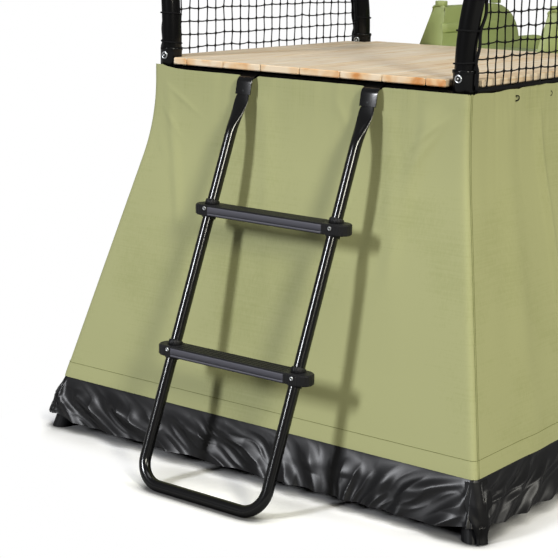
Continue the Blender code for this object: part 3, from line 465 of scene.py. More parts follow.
lowRise = net["low"] - bow["base"]
riseTable = np.linspace(lowRise, bow["height"] - net["topGap"], 500)
halfTable = np.maximum.accumulate(np.maximum(netBorder(riseTable)[0], 0)[::-1])[::-1]
topRise = riseTable[-1]
for side, sign in leftRight:
    # Knots lie on a grid, each moved a little; the cords run from knot to knot.
    columns = np.arange(-11, 12) * net["pitch"]
    rows = lowRise + net["firstRow"] + np.arange(0, 24) * net["pitch"] * net["rowShare"]
    rows = rows[rows < topRise]
    draws = np.random.default_rng(net["seed"] + sign).uniform(-1, 1, (2, len(rows), len(columns)))
    moved = draws * net["wander"]
    paths, sizes = [], []
    for j, along in enumerate(columns):
        crown = np.interp(-abs(along), -halfTable, riseTable) if abs(along) < halfTable[0] else 0
        rise = np.arange(lowRise, crown, net["step"])
        if len(rise) > 4:
            paths.append(netPoint(sign, np.interp(rise, rows, along + moved[0, :, j]), rise))
            sizes.append(knotSize(rise, rows + moved[1, :, j]))
    for i, height in enumerate(rows):
        half = np.interp(height, riseTable, halfTable)
        along = np.arange(-half, half, net["step"])
        sag = -net["sag"] * np.sin(along / net["pitch"] * np.pi) ** 2
        paths.append(netPoint(sign, along, np.interp(along, columns, height + moved[1, i]) + sag))
        sizes.append(knotSize(along, columns + moved[0, i]))
    mesh = addTubes("net_cords_" + side, paths, sizes, 6, netCord, net["up"], caps=False)
    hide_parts("net_" + side)
    edge = np.linspace(lowRise, topRise, 140)
    half = np.interp(edge, riseTable, halfTable)
    level = np.linspace(-1, 1, 60)
    crown = netPoint(sign, half[-1] * level, topRise + 0 * level)
    border = np.concatenate([netPoint(sign, -half, edge), crown, netPoint(sign, half[::-1], edge[::-1])])
    along = half[0] * np.linspace(-1, 1, 120)
    foot = netPoint(sign, along, lowRise + 0 * along)
    addTubes("net_border_" + side, [border, foot], net["border"], 10, netCord, net["up"])
    # Lacing: a cord that goes once round the bow tube, runs on along the net's border, and goes round again.
    path = bowPath(sign)[bow["endSteps"]:-bow["endSteps"]]
    length = np.concatenate([[0], np.cumsum(np.linalg.norm(np.diff(path, axis=0), axis=1))])
    fine = np.linspace(net["laceEnd"], length[-1] - net["laceEnd"], 2600)
    centre = np.stack([np.interp(fine, length, path[:, k]) for k in range(3)], -1)
    along = unitRows(np.gradient(centre, axis=0))
    outward = unitRows(sign * xAxis - along * (along @ (sign * xAxis))[:, None])
    inward = np.cross(along, outward)
    count = (fine - net["firstLace"]) / net["lacing"] + 0.5
    turn = sign * (np.pi / 2 + 2 * np.pi * (np.floor(count) + smoothStep(0.38, 0.62, count % 1)))
    reach = post["radius"] + net["lace"]
    lace = centre + reach * (np.cos(turn)[:, None] * outward + np.sin(turn)[:, None] * inward)
    addTubes("net_lacing_" + side, [lace], net["lace"], 8, netCord, (0.3, 0.2, 0.9))
print("nets")

# Tent skirt

legBend = dict(start=0.984, radius=0.64, footX=0.677, footY=0.6855)
legReach = math.hypot(legBend["footX"] - post["x"], legBend["footY"] - post["y"])
legWay = ((legBend["footX"] - post["x"]) / legReach, (legBend["footY"] - post["y"]) / legReach)
legLean = (math.atan2(-legBend["start"], legReach - legBend["radius"])
           + math.acos(-legBend["radius"] / math.hypot(legReach - legBend["radius"], legBend["start"])))
# The way along each side and the way it faces
sides = {"front": ((1, 0), (0, -1)), "right": ((0, 1), (1, 0)), "rear": ((-1, 0), (0, 1)),
         "left": ((0, -1), (-1, 0))}
tent = dict(
    top=1.0155, hem=0.148, radius=0.0355, bulge=0.003, corner=4.2, columns=260, halfColumns=170, rows=220,
    cornerSteps=17, cornerLift=0.01, hookX=(-0.1655, 0.2295), hookDip=0.011, hookReach=0.024, rearDrop=0.006,
    sag=0.0042, ripple=0.0016, hemHeight=0.042, turnIn=0.003, stitchOut=0.001, thread=0.0006)
# Tension folds of the front: place along the edge, way, width, rise, share of the height where they end.
frontFolds = (
    (0.44, -0.42, 0.03, 0.006, 0.75), (0.4, -0.15, 0.022, 0.004, 0.75), (-0.47, 0.3, 0.018, 0.005, 0.75),
    (-0.13, 0.22, 0.028, 0.0036, 0.75), (0.26, 0.2, 0.026, 0.0036, 0.75), (-0.2, -0.3, 0.03, 0.0034, 0.75),
    (-0.56, 0.95, 0.011, 0.003, 0.26), (-0.6, 0.7, 0.013, 0.0034, 0.34), (-0.52, 1.6, 0.014, 0.0024, 0.16),
    (0.52, -1.2, 0.012, 0.0028, 0.22), (0.5, -0.75, 0.012, 0.0026, 0.3), (0.1, 0.5, 0.014, 0.002, 0.24))
# Upright folds of the slack right side: place, width, rise.
sideFolds = ((-0.145, 0.016, 0.012), (-0.31, 0.05, 0.008), (-0.02, 0.03, 0.009), (0.17, 0.02, 0.01),
             (0.33, 0.04, 0.008))


def legPlace(z):
    # Where a leg's axis has moved to at height z: straight, an arc outwards, straight to the foot.
    below = legBend["start"] - z
    arc = legBend["radius"] - np.sqrt(np.maximum(legBend["radius"] ** 2 - below ** 2, 0))
    lower = np.where(below < legBend["radius"] * math.sin(legLean), arc, legReach - z * math.tan(legLean))
    spread = np.where(below <= 0, 0, lower)
    return post["x"] + spread * legWay[0], post["y"] + spread * legWay[1]


def skirtPoints(side, station, z, radius, proud):
    # One side of the skirt: level between the legs (station -1 to 1), then round the leg on a rounded square.
    along, outward = (np.array(v + (0,), float) for v in sides[side])
    legX, legY = legPlace(z)
    half, offset = (legX, legY) if side in ("front", "rear") else (legY, legX)
    turn = np.maximum(np.abs(station) - 1, 0)
    reach = np.minimum(np.abs(station), 1) * half + radius * np.sin(turn) ** (2 / tent["corner"])
    away = offset + radius * np.cos(turn) ** (2 / tent["corner"]) + proud
    points = (np.sign(station) * reach)[..., None] * along + away[..., None] * outward
    points[..., 2] = z
    points[..., 1] += towerY
    return points


def skirtGrid(first, last, columns, rows):
    # Stations along a side and shares of its height; a sheet that reaches a leg ends in the corner's middle.
    corner, steps = math.pi / 4, tent["cornerSteps"]
    before = np.linspace(-1 - corner, -1, steps)[:-1] if first == -1 else []
    after = np.linspace(1, 1 + corner, steps)[1:] if last == 1 else []
    station = np.concatenate([before, np.linspace(first, last, columns), after])
    shape = (rows, len(station))
    return np.broadcast_to(station, shape), np.broadcast_to(np.linspace(0, 1, rows)[:, None], shape)


def tentTop(side, station):
    # The upper edge: drawn up at the left front corner, pushed down where the ladder hooks cross it.
    top = np.full(station.shape, tent["top"])
    if side == "front":
        top = top + tent["cornerLift"] * np.clip(-station, 0, 1) ** 14
        for x in tent["hookX"]:
            top = top - tent["hookDip"] * np.exp(-((station * post["x"] - x) / tent["hookReach"]) ** 4)
    if side == "right":
        along = station * post["y"]
        top = top + 0.004 * smoothStep(-0.255, -0.235, along) - 0.003 * np.sin(along * 21) ** 2
    if side == "rear":
        top = top - tent["rearDrop"]
    return top


def tentProud(side, station, share, z):
    # Taut outward bow, slow sags, tension folds on the front, and on the slack right side soft upright folds.
    inside = np.clip(np.abs(station), 0, 1)
    shape = station.shape
    fade = 1 - inside ** 10
    middle = smoothStep(0.0, 0.25, share) * (1 - smoothStep(0.75, 0.93, share))
    proud = tent["bulge"] * np.sin(np.pi * share) * (1 - inside ** 2)
    proud = proud + tent["sag"] * fade * softNoise(shape, (3, 11), 3 + len(side)) * middle
    proud = proud + tent["ripple"] * fade * softNoise(shape, (2, 44), 9 + len(side)) * np.exp(-share * 7)
    if side == "front":
        # Soft ridges that run down from the corners and the hooks, each to one side.
        x = station * legPlace(z)[0]
        for place, way, wide, rise, end in frontFolds:
            fold = rise * np.exp(-((x - place - way * (tent["top"] - z)) / wide) ** 2)
            fold = fold * smoothStep(0.02, 0.1, share) * (1 - smoothStep(0.4 * end, end, share))
            proud = proud + fold * fade
    if side == "right":
        y = station * legPlace(z)[1]
        folds = sum(rise * np.exp(-((y - place * (1 + 0.25 * share)) / wide) ** 2)
                    for place, wide, rise in sideFolds)
        belly = 0.35 + 0.65 * np.sin(np.pi * np.clip(share * 0.9 + 0.08, 0, 1))
        proud = proud + folds * smoothStep(0.0, 0.12, share) * belly * fade
    return proud


def buildPanel(name, side, first, last, lift):
    whole = first == -1 and last == 1
    station, share = skirtGrid(first, last, tent["columns" if whole else "halfColumns"], tent["rows"])
    top = tentTop(side, station)
    z = top + (tent["hem"] - top) * share
    lap = lift * np.clip(3 - np.abs(station) * 9, 0, 1)
    proud = np.where(np.abs(station) <= 1, tentProud(side, station, share, z), 0) + lap
    points = skirtPoints(side, station, z, tent["radius"], proud)
    panel = addGrid("cloth_" + name, points, olive, flip=True)
    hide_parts(name)
    # The turned-up hem is a second layer, a little proud, with its stitch line near the top.
    hemZ = tent["hem"] - tent["turnIn"] + (tent["hemHeight"] + tent["turnIn"]) * (1 - share)
    stitchZ = tent["hem"] + tent["hemHeight"] - tent["turnIn"]
    lastRow, drop = tent["rows"] - 1, tent["top"] - tent["hem"]
    hemRow, stitchRow = (np.clip(lastRow * (1 - (at - tent["hem"]) / drop), 0, lastRow).astype(int)
                         for at in (hemZ, stitchZ))
    puff = 0.0006 * np.sin(np.pi * np.clip(share, 0.02, 0.98)) ** 0.4 + 0.0003
    hem = skirtPoints(side, station, hemZ, tent["radius"] + puff, np.take_along_axis(proud, hemRow, 0))[::6]
    hemPiece = addGrid("hem_" + name, hem, olive, flip=True)
    level = np.full(station.shape[1], stitchZ)
    line = skirtPoints(side, station[0], level, tent["radius"] + tent["stitchOut"], proud[stitchRow])
    thread = addTubes("stitch_" + name, [line], tent["thread"], 6, oliveThread)


buildPanel("tent_front", "front", -1, 1, 0.0)
buildPanel("tent_left", "left", -1, 1, 0.0)
buildPanel("tent_rear", "rear", -1, 1, 0.0)
buildPanel("tent_right_front", "right", -1, 0.11, 0.0045)
buildPanel("tent_right_rear", "right", -0.11, 1, 0.0)

# Corner seams: a narrow felled strip with two stitch lines, on the side face of each corner.
seam = dict(angle=math.radians(18), half=0.13, stitch=0.07, puff=0.0009, rows=90, columns=9)
seamZ = np.linspace(tent["top"] - 0.001, tent["hem"] - 0.002, seam["rows"])
legX, legY = legPlace(seamZ)
squared = 2 / tent["corner"]
for corner, sx, sy in fourCorners:
    angles = np.linspace(-seam["half"], seam["half"], seam["columns"]) + seam["angle"]
    reach = tent["radius"] + seam["puff"] * np.cos(np.linspace(-1.45, 1.45, seam["columns"])) ** 0.5
    strip = stacked(sx * (legX[:, None] + reach * np.cos(angles) ** squared),
                    towerY + sy * (legY[:, None] + reach * np.sin(angles) ** squared), seamZ[:, None])
    addGrid("seam_" + corner, strip, olive, flip=sx * sy < 0)
    reach = tent["radius"] + seam["puff"]
    lines = [stacked(sx * (legX + reach * math.cos(angle) ** squared),
                     towerY + sy * (legY + reach * math.sin(angle) ** squared), seamZ)
             for angle in (seam["angle"] - seam["stitch"], seam["angle"] + seam["stitch"])]
    addTubes("seam_stitch_" + corner, lines, tent["thread"], 6, oliveThread, xAxis)

# Elastic loops with toggles that hold the slack side to the rail
toggle = dict(z=0.992, out=0.005, tuck=0.003, wide=0.011, half=0.006, cord=0.0015, steps=25)
bend = np.linspace(0, 1, toggle["steps"])
for index, y in enumerate((-0.27, -0.1, 0.1, 0.27)):
    x = legPlace(np.array(toggle["z"]))[0] + tent["radius"] + toggle["out"]
    ring = stacked(x - toggle["tuck"] * ((bend < 0.02) | (bend > 0.98)),
                   towerY + y + toggle["wide"] * np.sin(np.pi * bend) ** 0.6,
                   toggle["z"] + toggle["half"] * np.cos(np.pi * bend))
    addTubes(f"toggle_loop_{index}", [ring], toggle["cord"], 8, netCord, xAxis)
print("tent")

# Ground flap: black nylon from inside the hem to a loose wrinkled edge

flap = dict(
    tuck=0.01, bottom=0.03, flare=0.008, columns=420, rows=60, inset=0.0012, cornerLift=0.012, uneven=0.002,
    fold=0.015, crease=0.0065, hollow=0.005, creases=36, free=(0.08, 0.55))
flapTop = tent["hem"] + flap["tuck"]
for side in sides:
    station, share = skirtGrid(-1, 1, flap["columns"], flap["rows"])
    shape, seed = station.shape, len(side)
    free = smoothStep(*flap["free"], share)
    lift = flap["cornerLift"] * np.clip(np.abs(station), 0, 1) ** 14
    bottom = flap["bottom"] + lift + flap["uneven"] * softNoise(shape, (1, 16), 21 + seed)
    z = flapTop + (bottom - flapTop) * share
    # Long slanting folds that turn over near the right-hand corner, finer creases across them, slow hollows.
    lean = np.clip((station - 0.42) * 3, -1, 1) * (-1 if side == "right" else 1)
    waves, deep, drift = (36, 1.15, 3.6) if side == "right" else (24, 1.0, 2.2)
    phase = station * waves + 0.4 * waves * share * lean + drift * softNoise(shape, (2, 9), 31 + seed)
    ridge = (0.5 + 0.5 * np.cos(phase)) ** 1.5
    strength = 0.45 + 0.55 * np.abs(softNoise(shape, (2, 11), 51 + seed))
    phase = station * flap["creases"] + 15 * share * lean + 2.4 * softNoise(shape, (3, 13), 41 + seed)
    fine = (1 - np.abs(np.sin(phase)) ** 0.7) * np.abs(softNoise(shape, (2, 15), 71 + seed))
    hollow = softNoise(shape, (2, 9), 61 + seed)
    proud = free * deep * (flap["fold"] * ridge * strength + flap["crease"] * fine + flap["hollow"] * hollow)
    turn = np.clip(np.abs(station) - 1, 0, 1) / (math.pi / 4)
    proud = proud * (1 - smoothStep(0.0, 1.0, turn))
    points = skirtPoints(side, station, z, tent["radius"] - flap["inset"] + flap["flare"] * free, proud)
    piece = addGrid("nylon_flap_" + side, points, blackNylon, flip=True)
    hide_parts("ground_flap_" + side)
    width, height = sheetSpan(points)

# The gathered end at the front right corner hangs on down over the foot in pleats.
tail = dict(
    top=0.14, bottom=0.0025, wide=(-0.45, 1.4), narrow=(-0.3, 0.75), foot=0.036, pleat=0.006, loose=0.002,
    pleats=11, seed=81, rows=70, columns=90)
down, across = np.meshgrid(np.linspace(0, 1, tail["rows"]), np.linspace(0, 1, tail["columns"]), indexing="ij")
z = tail["top"] + (tail["bottom"] - tail["top"]) * down
share = smoothStep(0.25, 1.0, down)
first, last = (wide * (1 - share) + narrow * share for wide, narrow in zip(tail["wide"], tail["narrow"]))
angle = first + (last - first) * across
power = tent["corner"]
square = (np.abs(np.cos(angle)) ** power + np.abs(np.sin(angle)) ** power) ** (-1 / power)
free = smoothStep(*flap["free"], (flapTop - z) / (flapTop - flap["bottom"]))
reach = (tent["radius"] + flap["flare"] * free) * square
reach = reach + (tail["foot"] - reach) * smoothStep(0.055, 0.012, z)
wander = 1.5 * softNoise(down.shape, (3, 3), tail["seed"])
folds = 0.5 + 0.5 * np.cos(tail["pleats"] * across + 2.0 * down + wander)
reach = reach + free * (tail["loose"] + tail["pleat"] * np.sin(np.pi * across) ** 0.5 * folds)
legX, legY = legPlace(z)
points = stacked(legX + reach * np.cos(angle), towerY - legY - reach * np.sin(angle), z)
addGrid("flap_tail_front_right", points, lining)
print("flap")

# Ladder: one bent tube whose upper ends are pressed flat and held by the hooks

ladder = dict(
    x=0.032, width=0.395, radius=0.0135, bend=0.065, footY=-0.9175, slope=0.41072, top=0.964, flatWidth=0.045,
    flatDepth=0.0046, tongue=0.022, tongueWidth=0.03, back=0.0094, tube=0.015, sides=40, bendSteps=25,
    stileSteps=90)
tilt = math.atan(ladder["slope"])
stileUp = np.array([0, math.sin(tilt), math.cos(tilt)])


def stilePoint(sign, z):
    return np.array([ladder["x"] + sign * ladder["width"] / 2,
                     towerY + ladder["footY"] + ladder["slope"] * (z - ladder["radius"]), z])


turn = np.linspace(0, np.pi / 2, ladder["bendSteps"])
foot = stilePoint(1, ladder["radius"])
inset = ladder["width"] / 2 - ladder["bend"]
bend = stacked(ladder["x"] + inset + ladder["bend"] * np.sin(turn), foot[1], foot[2])
bend = bend + stileUp * (ladder["bend"] * (1 - np.cos(turn)))[:, None]
stileTop = stilePoint(1, ladder["top"]) + stileUp * ladder["tongue"]  # the end runs on behind the hook's leaf
stile = bend[-1] + (stileTop - bend[-1]) * np.linspace(0, 1, ladder["stileSteps"])[1:, None]
rightHalf = np.concatenate([bend, stile])
leftHalf = (rightHalf * [-1, 1, 1] + [2 * ladder["x"], 0, 0])[::-1]
path = np.concatenate([leftHalf, rightHalf])
path[:, 1] += ladder["back"] * smoothStep(0.872, 0.958, path[:, 2])  # the top bends back towards the rail
path[:, 2] += (ladder["tube"] - ladder["radius"]) * (1 - smoothStep(0.02, 0.15, path[:, 2]))
rings = tubeRings(path, ladder["tube"], ladder["sides"], np.cross(xAxis, stileUp))
# The last 95 mm of each stile are pressed flat: the round section widens along X and thins across it.
middle = rings.mean(1)[:, None]
height = middle[..., 2]
offset = rings - middle
share = smoothStep(ladder["top"] - 0.095, ladder["top"] - 0.008, height)
behind = smoothStep(ladder["top"] - 0.004, ladder["top"] + 0.01, height)
flatWidth = ladder["flatWidth"] * (1 - behind) + ladder["tongueWidth"] * behind
across = offset[..., 0] * (1 + share * (flatWidth / 2 / ladder["tube"] - 1))
through = offset * [0, 1, 1] * (1 + share * (ladder["flatDepth"] / 2 / ladder["tube"] - 1))[..., None]
rings = middle + through + across[..., None] * xAxis
tube = addMesh("ladder_bent_tube", rings, cappedFaces(len(rings), ladder["sides"]), glossSteel, "ladder")
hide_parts("ladder_tube")

# Hooks: a strap from behind the rail, over it, forwards to a knee and down as a leaf riveted to the stile
hook = dict(
    width=0.05, thick=0.003, ease=0.0008, inner=0.0194, back=math.radians(-35), lean=math.radians(10),
    leaf=0.04, lift=0.0003, neck=0.006, proud=0.0032, crown=0.0022, inward=0.014, knee=0.011, kneeSteps=11,
    arcSteps=28, crownSteps=12, columns=11, sharp=math.radians(40), rivetUp=0.01, rivetOut=0.0002,
    rivet=[(0, 0), (0.0045, 0), (0.0042, 0.001), (0.003, 0.0018), (0, 0.0021)])
railAt = np.array([0, towerY - rail["y"], rail["z"]])
leafWay = np.array([0, -math.sin(hook["lean"]), -math.cos(hook["lean"])])
faceWay = np.array([0, -math.cos(hook["lean"]), math.sin(hook["lean"])])
for side, sign in leftRight:
    stileEnd = stilePoint(sign, ladder["top"]) + stileUp * hook["lift"]
    toe = stileEnd + stileUp * hook["neck"] / 2 - railAt + faceWay * hook["proud"] + [0, hook["inward"], 0]
    toe[0] = 0
    knee = toe - leafWay * hook["leaf"]
    # The arc round the rail ends where a straight line to the knee touches it.
    last = math.atan2(knee[2], knee[1]) - math.acos(hook["inner"] / np.linalg.norm(knee))
    angles = np.linspace(hook["back"], last, hook["arcSteps"])
    arc = stacked(0, np.cos(angles), np.sin(angles)) * hook["inner"]
    bent = np.array([arc[-1] + (knee - arc[-1]) * 0.1, knee, toe])
    lineIn = np.concatenate([arc, rounded(bent, hook["knee"], hook["kneeSteps"])])
    along = unitRows(np.gradient(lineIn, axis=0))
    outWay = stacked(0, along[:, 2], -along[:, 1])
    # Section: a flat inner face and eased corners, carried along the strap; past the knee it is crowned.
    half, ease, thick = hook["width"] / 2, hook["ease"], hook["thick"]
    face = np.linspace(half - ease, -half + ease, hook["columns"])
    inner = [(-half, ease), (-half + ease, 0), (half - ease, 0), (half, ease), (half, thick - ease)]
    section = np.concatenate([inner, stacked(face, thick), [(-half, thick - ease)]])
    count = len(section)
    crown = np.zeros(count)
    crown[len(inner):-1] = hook["crown"] * (1 - (face / half) ** 2)
    past = np.clip((np.arange(len(lineIn)) - len(arc)) / hook["crownSteps"], 0, 1)
    lift = section[None, :, 1] + past[:, None] * crown
    rings = (railAt + lineIn)[:, None] + section[None, :, 0, None] * xAxis + lift[..., None] * outWay[:, None]
    rings[..., 0] += stileEnd[0]
    strap = addMesh("hook_strap_" + side, rings, cappedFaces(len(rings), count), leafSteel, "ladder")
    strap.data.set_sharp_from_angle(angle=hook["sharp"])
    # The part over the rail takes a matt copy of the black, with no clear top to reflect the deck, so it
    # stays as dark as the shade under the deck: painted shade.
    strap.data.materials.append(shadeMattSteel)
    onStrap = np.arange(len(strap.data.polygons)) // count < len(arc) + 2
    strap.data.polygons.foreach_set("material_index", onStrap.astype(int))
    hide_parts("ladder_hook_" + side)
    spot = railAt + toe - leafWay * hook["rivetUp"] + faceWay * (hook["thick"] + hook["rivetOut"])
    spot[0] += stileEnd[0]
    addTurned("hook_rivet_" + side, hook["rivet"], spot, faceWay, glossSteel, "ladder", sides=24)

# Treads: cuffs round the stiles, a screw at each end with a black disc in its socket for painted shade, a
# paler plate on the front face
r = ladder["tube"]
tread = dict(
    levels=(("lower", 0.333), ("upper", 0.68)), cuffUp=0.006, cuffDown=0.004, front=0.025, screwOut=0.0252,
    screwX={"left": 0.0, "right": 0.003}, screwZ={"left": 0.006, "right": 0.004},
    cuff=[(r + 0.0002, 0), (r + 0.0036, 0), (r + 0.0036, 0.0175), (r + 0.0026, 0.019), (r + 0.0002, 0.0195)],
    screw=[(0, -0.001), (0.0054, -0.001), (0.0054, 0.001), (0.0046, 0.0022), (0.0026, 0.0026),
           (0.0022, 0.0006), (0, 0.0006)],
    socket=[(0, 0.0004), (0.0021, 0.0004), (0.0021, 0.0016), (0, 0.0016)],
    plateLeft=0.007, plateRight=0.0215, plateColumns=60, plateEdge=-0.0005,
    plateRise=[-0.0118, -0.0112, -0.0068, -0.0064, -0.0052, -0.0048, 0.0085, 0.01, 0.0105],
    plateProud=[-0.0005, 0.0007, 0.0009, -0.0002, -0.0002, 0.0012, 0.0012, 0.0008, -0.0005])
for level, z in tread["levels"]:
    for side, sign in leftRight:
        middle = stilePoint(sign, z)
        for name, way, apart in (("cuff", stileUp, "cuffUp"), ("cuff_low", -stileUp, "cuffDown")):
            addTurned(f"tread_{name}_{level}_{side}", tread["cuff"], middle + way * tread[apart], way,
                      treadPlastic, "ladder")
        spot = middle + [tread["screwX"][side], -tread["screwOut"], tread["screwZ"][side]]
        addTurned(f"tread_screw_{level}_{side}", tread["screw"], spot, frontAxis, zinc, "ladder", sides=24)
        # A black disc in the screw's socket stands in for the shade in the recess: painted shade.
        addTurned(f"tread_socket_{level}_{side}", tread["socket"], spot, frontAxis, shadeMattSteel, "ladder",
                  sides=16)
    # The plate fills the upper part of the front face between the clamps, with a groove near its lower edge.
    x = np.linspace(ladder["x"] - ladder["width"] / 2 + tread["plateLeft"],
                    ladder["x"] + ladder["width"] / 2 - tread["plateRight"], tread["plateColumns"])
    proud = np.tile(tread["plateProud"], (len(x), 1))
    proud[[0, -1]] = tread["plateEdge"]
    plate = stacked(x[:, None], stilePoint(0, z)[1] - tread["front"] - proud,
                    z + np.array(tread["plateRise"]))
    addGrid("tread_plate_" + level, plate, platePlastic, "ladder")
print("ladder")

# Slide: the moulded chute again with round edges and many stations

slide = dict(
    x=-0.022, inner=0.165, base=0.093, draft=0.016, wall=0.04, headTop=1.165, headLean=0.3, leanSteps=6,
    start=0.4878, floor=1.04, flat=0.145, topRadius=0.9, slope=math.radians(38), runSlope=math.radians(4),
    runRadius=0.6, run=0.2, exit=0.17, height=0.11, round=0.014, head=0.349, fade=0.16, lowTop=1.05,
    lowEnd=1.14, lowBlend=0.22, stations=400, skin=0.0045, thinHead=0.022, thicker=0.033, thickerBy=0.29,
    footStart=0.26, footEnd=0.13, footGap=0.0008, sharp=math.radians(40), capFirst=0.047, capSpacing=0.331,
    cap=[(0, 0.0004), (0.0185, 0.0004), (0.019, 0.001), (0.019, 0.0125), (0.0182, 0.0145), (0.0165, 0.0152),
         (0, 0.0154)],
    bandFrom=0.012, bandTo=0.36, bandColumns=40, bandIn=0.0005,
    bandZ=[1.083, 1.0845, 1.0885, 1.107, 1.1115, 1.113],
    bandOut=[-0.0005, 0.005, 0.0075, 0.0075, 0.005, -0.0005])


def slideFloor(count):
    # Floor line: flat, arc, straight, arc, run-out, read at even steps along it.
    slope, runSlope, radius, run = (slide[key] for key in ("slope", "runSlope", "runRadius", "run"))
    y, z = [slide["start"], slide["start"] + slide["flat"]], [slide["floor"]] * 2
    t = np.linspace(0, slope, 24)[1:]
    top = slide["topRadius"]
    y, z = np.r_[y, y[-1] + top * np.sin(t)], np.r_[z, z[-1] - top * (1 - np.cos(t))]
    drop = z[-1] - slide["exit"] - radius * (math.cos(runSlope) - math.cos(slope)) - run * math.tan(runSlope)
    y, z = np.r_[y, y[-1] + drop / math.tan(slope)], np.r_[z, z[-1] - drop]
    t = slope + (runSlope - slope) * np.linspace(0, 1, 20)[1:]
    y, z = (np.r_[y, y[-1] + radius * (math.sin(slope) - np.sin(t))],
            np.r_[z, z[-1] - radius * (np.cos(t) - math.cos(slope))])
    y, z = np.r_[y, y[-1] + run], np.r_[z, z[-1] - run * math.tan(runSlope)]
    length = np.r_[0, np.cumsum(np.hypot(np.diff(y), np.diff(z)))]
    even = np.linspace(0, length[-1], count)
    return np.interp(even, length, y), np.interp(even, length, z)


floorY, floorZ = slideFloor(slide["stations"])
stations = []
inner, innerTop = slide["inner"], slide["inner"] + slide["draft"]
for index, (y, z) in enumerate(zip(floorY, floorZ)):
    # Wall top: level along the head, a quarter ellipse down to the low stretch, then following the floor.
    past = min(max((y - slide["start"] - slide["head"]) / slide["fade"], 0), 1)
    follow = float(smoothStep(slide["lowEnd"], slide["lowEnd"] + slide["lowBlend"], y))
    low = slide["lowTop"] * (1 - follow) + (z + slide["height"]) * follow
    top = low + (slide["headTop"] - slide["lowTop"]) * math.sqrt(1 - past ** 2)
    # Outer walls: they reach below the floor, and at the end down to the ground.
    thick = float(smoothStep(slide["start"], slide["start"] + slide["thickerBy"], y))
    depth = slide["thinHead"] + slide["thicker"] * thick
    base = float(smoothStep(floorY[-1] - slide["footStart"], floorY[-1] - slide["footEnd"], y))
    under = (z - depth) * (1 - base) + slide["footGap"] * base
    line = rounded(np.array([[inner + slide["base"], under], [innerTop + slide["wall"], top], [innerTop, top],
                             [inner, z], [0, z]]), slide["round"])
    whole = np.concatenate([line, line[::-1][1:] * [-1, 1]])
    lean = slide["headLean"] * max(1 - index / slide["leanSteps"], 0)
    stations.append(stacked(slide["x"] + whole[:, 0], towerY + y + lean * np.maximum(whole[:, 1] - z, 0),
                            whole[:, 1]))
skin = np.array(stations)
faces = [face[::-1] for face in cappedFaces(*skin.shape[:2], loop=False)]
chute = addMesh("chute_moulded_skin", skin, faces, greenPlastic)
chute.data.set_sharp_from_angle(angle=slide["sharp"])
solid = chute.modifiers.new("skin", "SOLIDIFY")
solid.thickness = slide["skin"]
solid.offset = -1
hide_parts("slide_chute")
for side, sign in leftRight:
    for index in (0, 1):
        place = (slide["x"] + sign * (innerTop + slide["wall"] / 2),
                 towerY + slide["start"] + slide["capFirst"] + slide["capSpacing"] * index, slide["headTop"])
        cap = addTurned(f"cap_turned_{side}_{index + 1}", slide["cap"], place, upAxis, greenPlastic)
        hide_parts(f"slide_cap_{side}_{index + 1}")
    # The raised band on the inner face of the head wall, sunk into it at both ends
    y = slide["start"] + np.linspace(slide["bandFrom"], slide["bandTo"], slide["bandColumns"])
    z = np.array(slide["bandZ"])
    wall = slide["inner"] + (z - slide["floor"]) / (slide["headTop"] - slide["floor"]) * slide["draft"]
    fromEnd = np.minimum(np.arange(len(y)), np.arange(len(y))[::-1])
    face = wall + slide["bandIn"]
    x = face + (wall - slide["bandOut"] - face) * np.clip(fromEnd / 2, 0, 1)[:, None]
    band = stacked(slide["x"] + sign * x, towerY + y[:, None], z)
    addGrid("chute_band_" + side, band, greenPlastic, flip=sign > 0)
print("slide")

# Stage: white floor, white surroundings, lamps, the camera of the photo

stage = dict(
    glossyShare=0.14, paperUnseen=0.2, paperSeen=2.0, shadeReach=0.2, whiteFrom=0.16, half=40, drop=-0.0002,
    roomLight=0.03)
# The object's places on the floor: middle and half size of the tower, the ladder's foot and the slide's end.
places = (((0, towerY, 0), (0.7, 0.71, 1)), ((0.032, towerY - 0.82, 0), (0.21, 0.12, 1)),
          ((-0.022, towerY + 2.25, 0), (0.25, 0.15, 1)))


def seenShare(tree):
    # How far a ray sees the white: fully from the camera or through something, only partly in a reflection.
    node = partial(addNode, tree)
    rays = node("LightPath").node.outputs
    shine = node("Math", rays["Is Glossy Ray"], stage["glossyShare"], operation="MULTIPLY")
    seen = node("Math", rays["Is Camera Ray"], shine, operation="MAXIMUM")
    return node("Math", seen, rays["Is Transmission Ray"], operation="MAXIMUM")


# White paper: where it is seen it is bright enough to read as white where nothing shades it, and away from
# the object it passes into an even white.
floorMaterial, node, shader, coords = newMaterial("floor_white_paper", Roughness=0.9, Specular_IOR_Level=0.1)
floorTree = floorMaterial.node_tree
seen = seenShare(floorTree)
paper = node("MapRange", seen, To_Min=stage["paperUnseen"], To_Max=stage["paperSeen"])
# The room's even light reaches less of the paper close beside the object: a soft contact shade.
openness = node("AmbientOcclusion", out="AO", samples=16, Distance=stage["shadeReach"])
shade = node("MapRange", openness, From_Min=0.55, From_Max=1.0, To_Min=0.1, To_Max=0.8)
feed(shader.inputs["Base Color"], node("Math", paper, shade, operation="MULTIPLY"))
near = None
for middle, half in places:
    away = node("VectorMath", coords, middle, operation="SUBTRACT")
    away = node("VectorMath", away, operation="ABSOLUTE")
    away = node("VectorMath", away, half, operation="SUBTRACT")
    away = node("VectorMath", away, (0.0, 0.0, 0.0), operation="MAXIMUM")
    away = node("VectorMath", away, out="Value", operation="LENGTH")
    near = node("Math", near, away, operation="MINIMUM") if near else away
far = node("MapRange", near, interpolation_type="SMOOTHSTEP", From_Max=stage["whiteFrom"])
amount = node("Math", far, seen, operation="MULTIPLY")
even = node("Emission", Color=(1, 1, 1, 1), Strength=1.0)
mixed = node("MixShader", amount, shader.outputs["BSDF"], even)
feed(floorTree.nodes["Material Output"].inputs["Surface"], mixed)
floor = bpy.data.objects.new("floor", bpy.data.meshes.new("floor"))
half, drop = stage["half"], stage["drop"]
sheetCorners = [(x, y, drop) for x, y in ((-half, -half), (half, -half), (half, half), (-half, half))]
floor.data.from_pydata(sheetCorners, [], [(0, 1, 2, 3)])
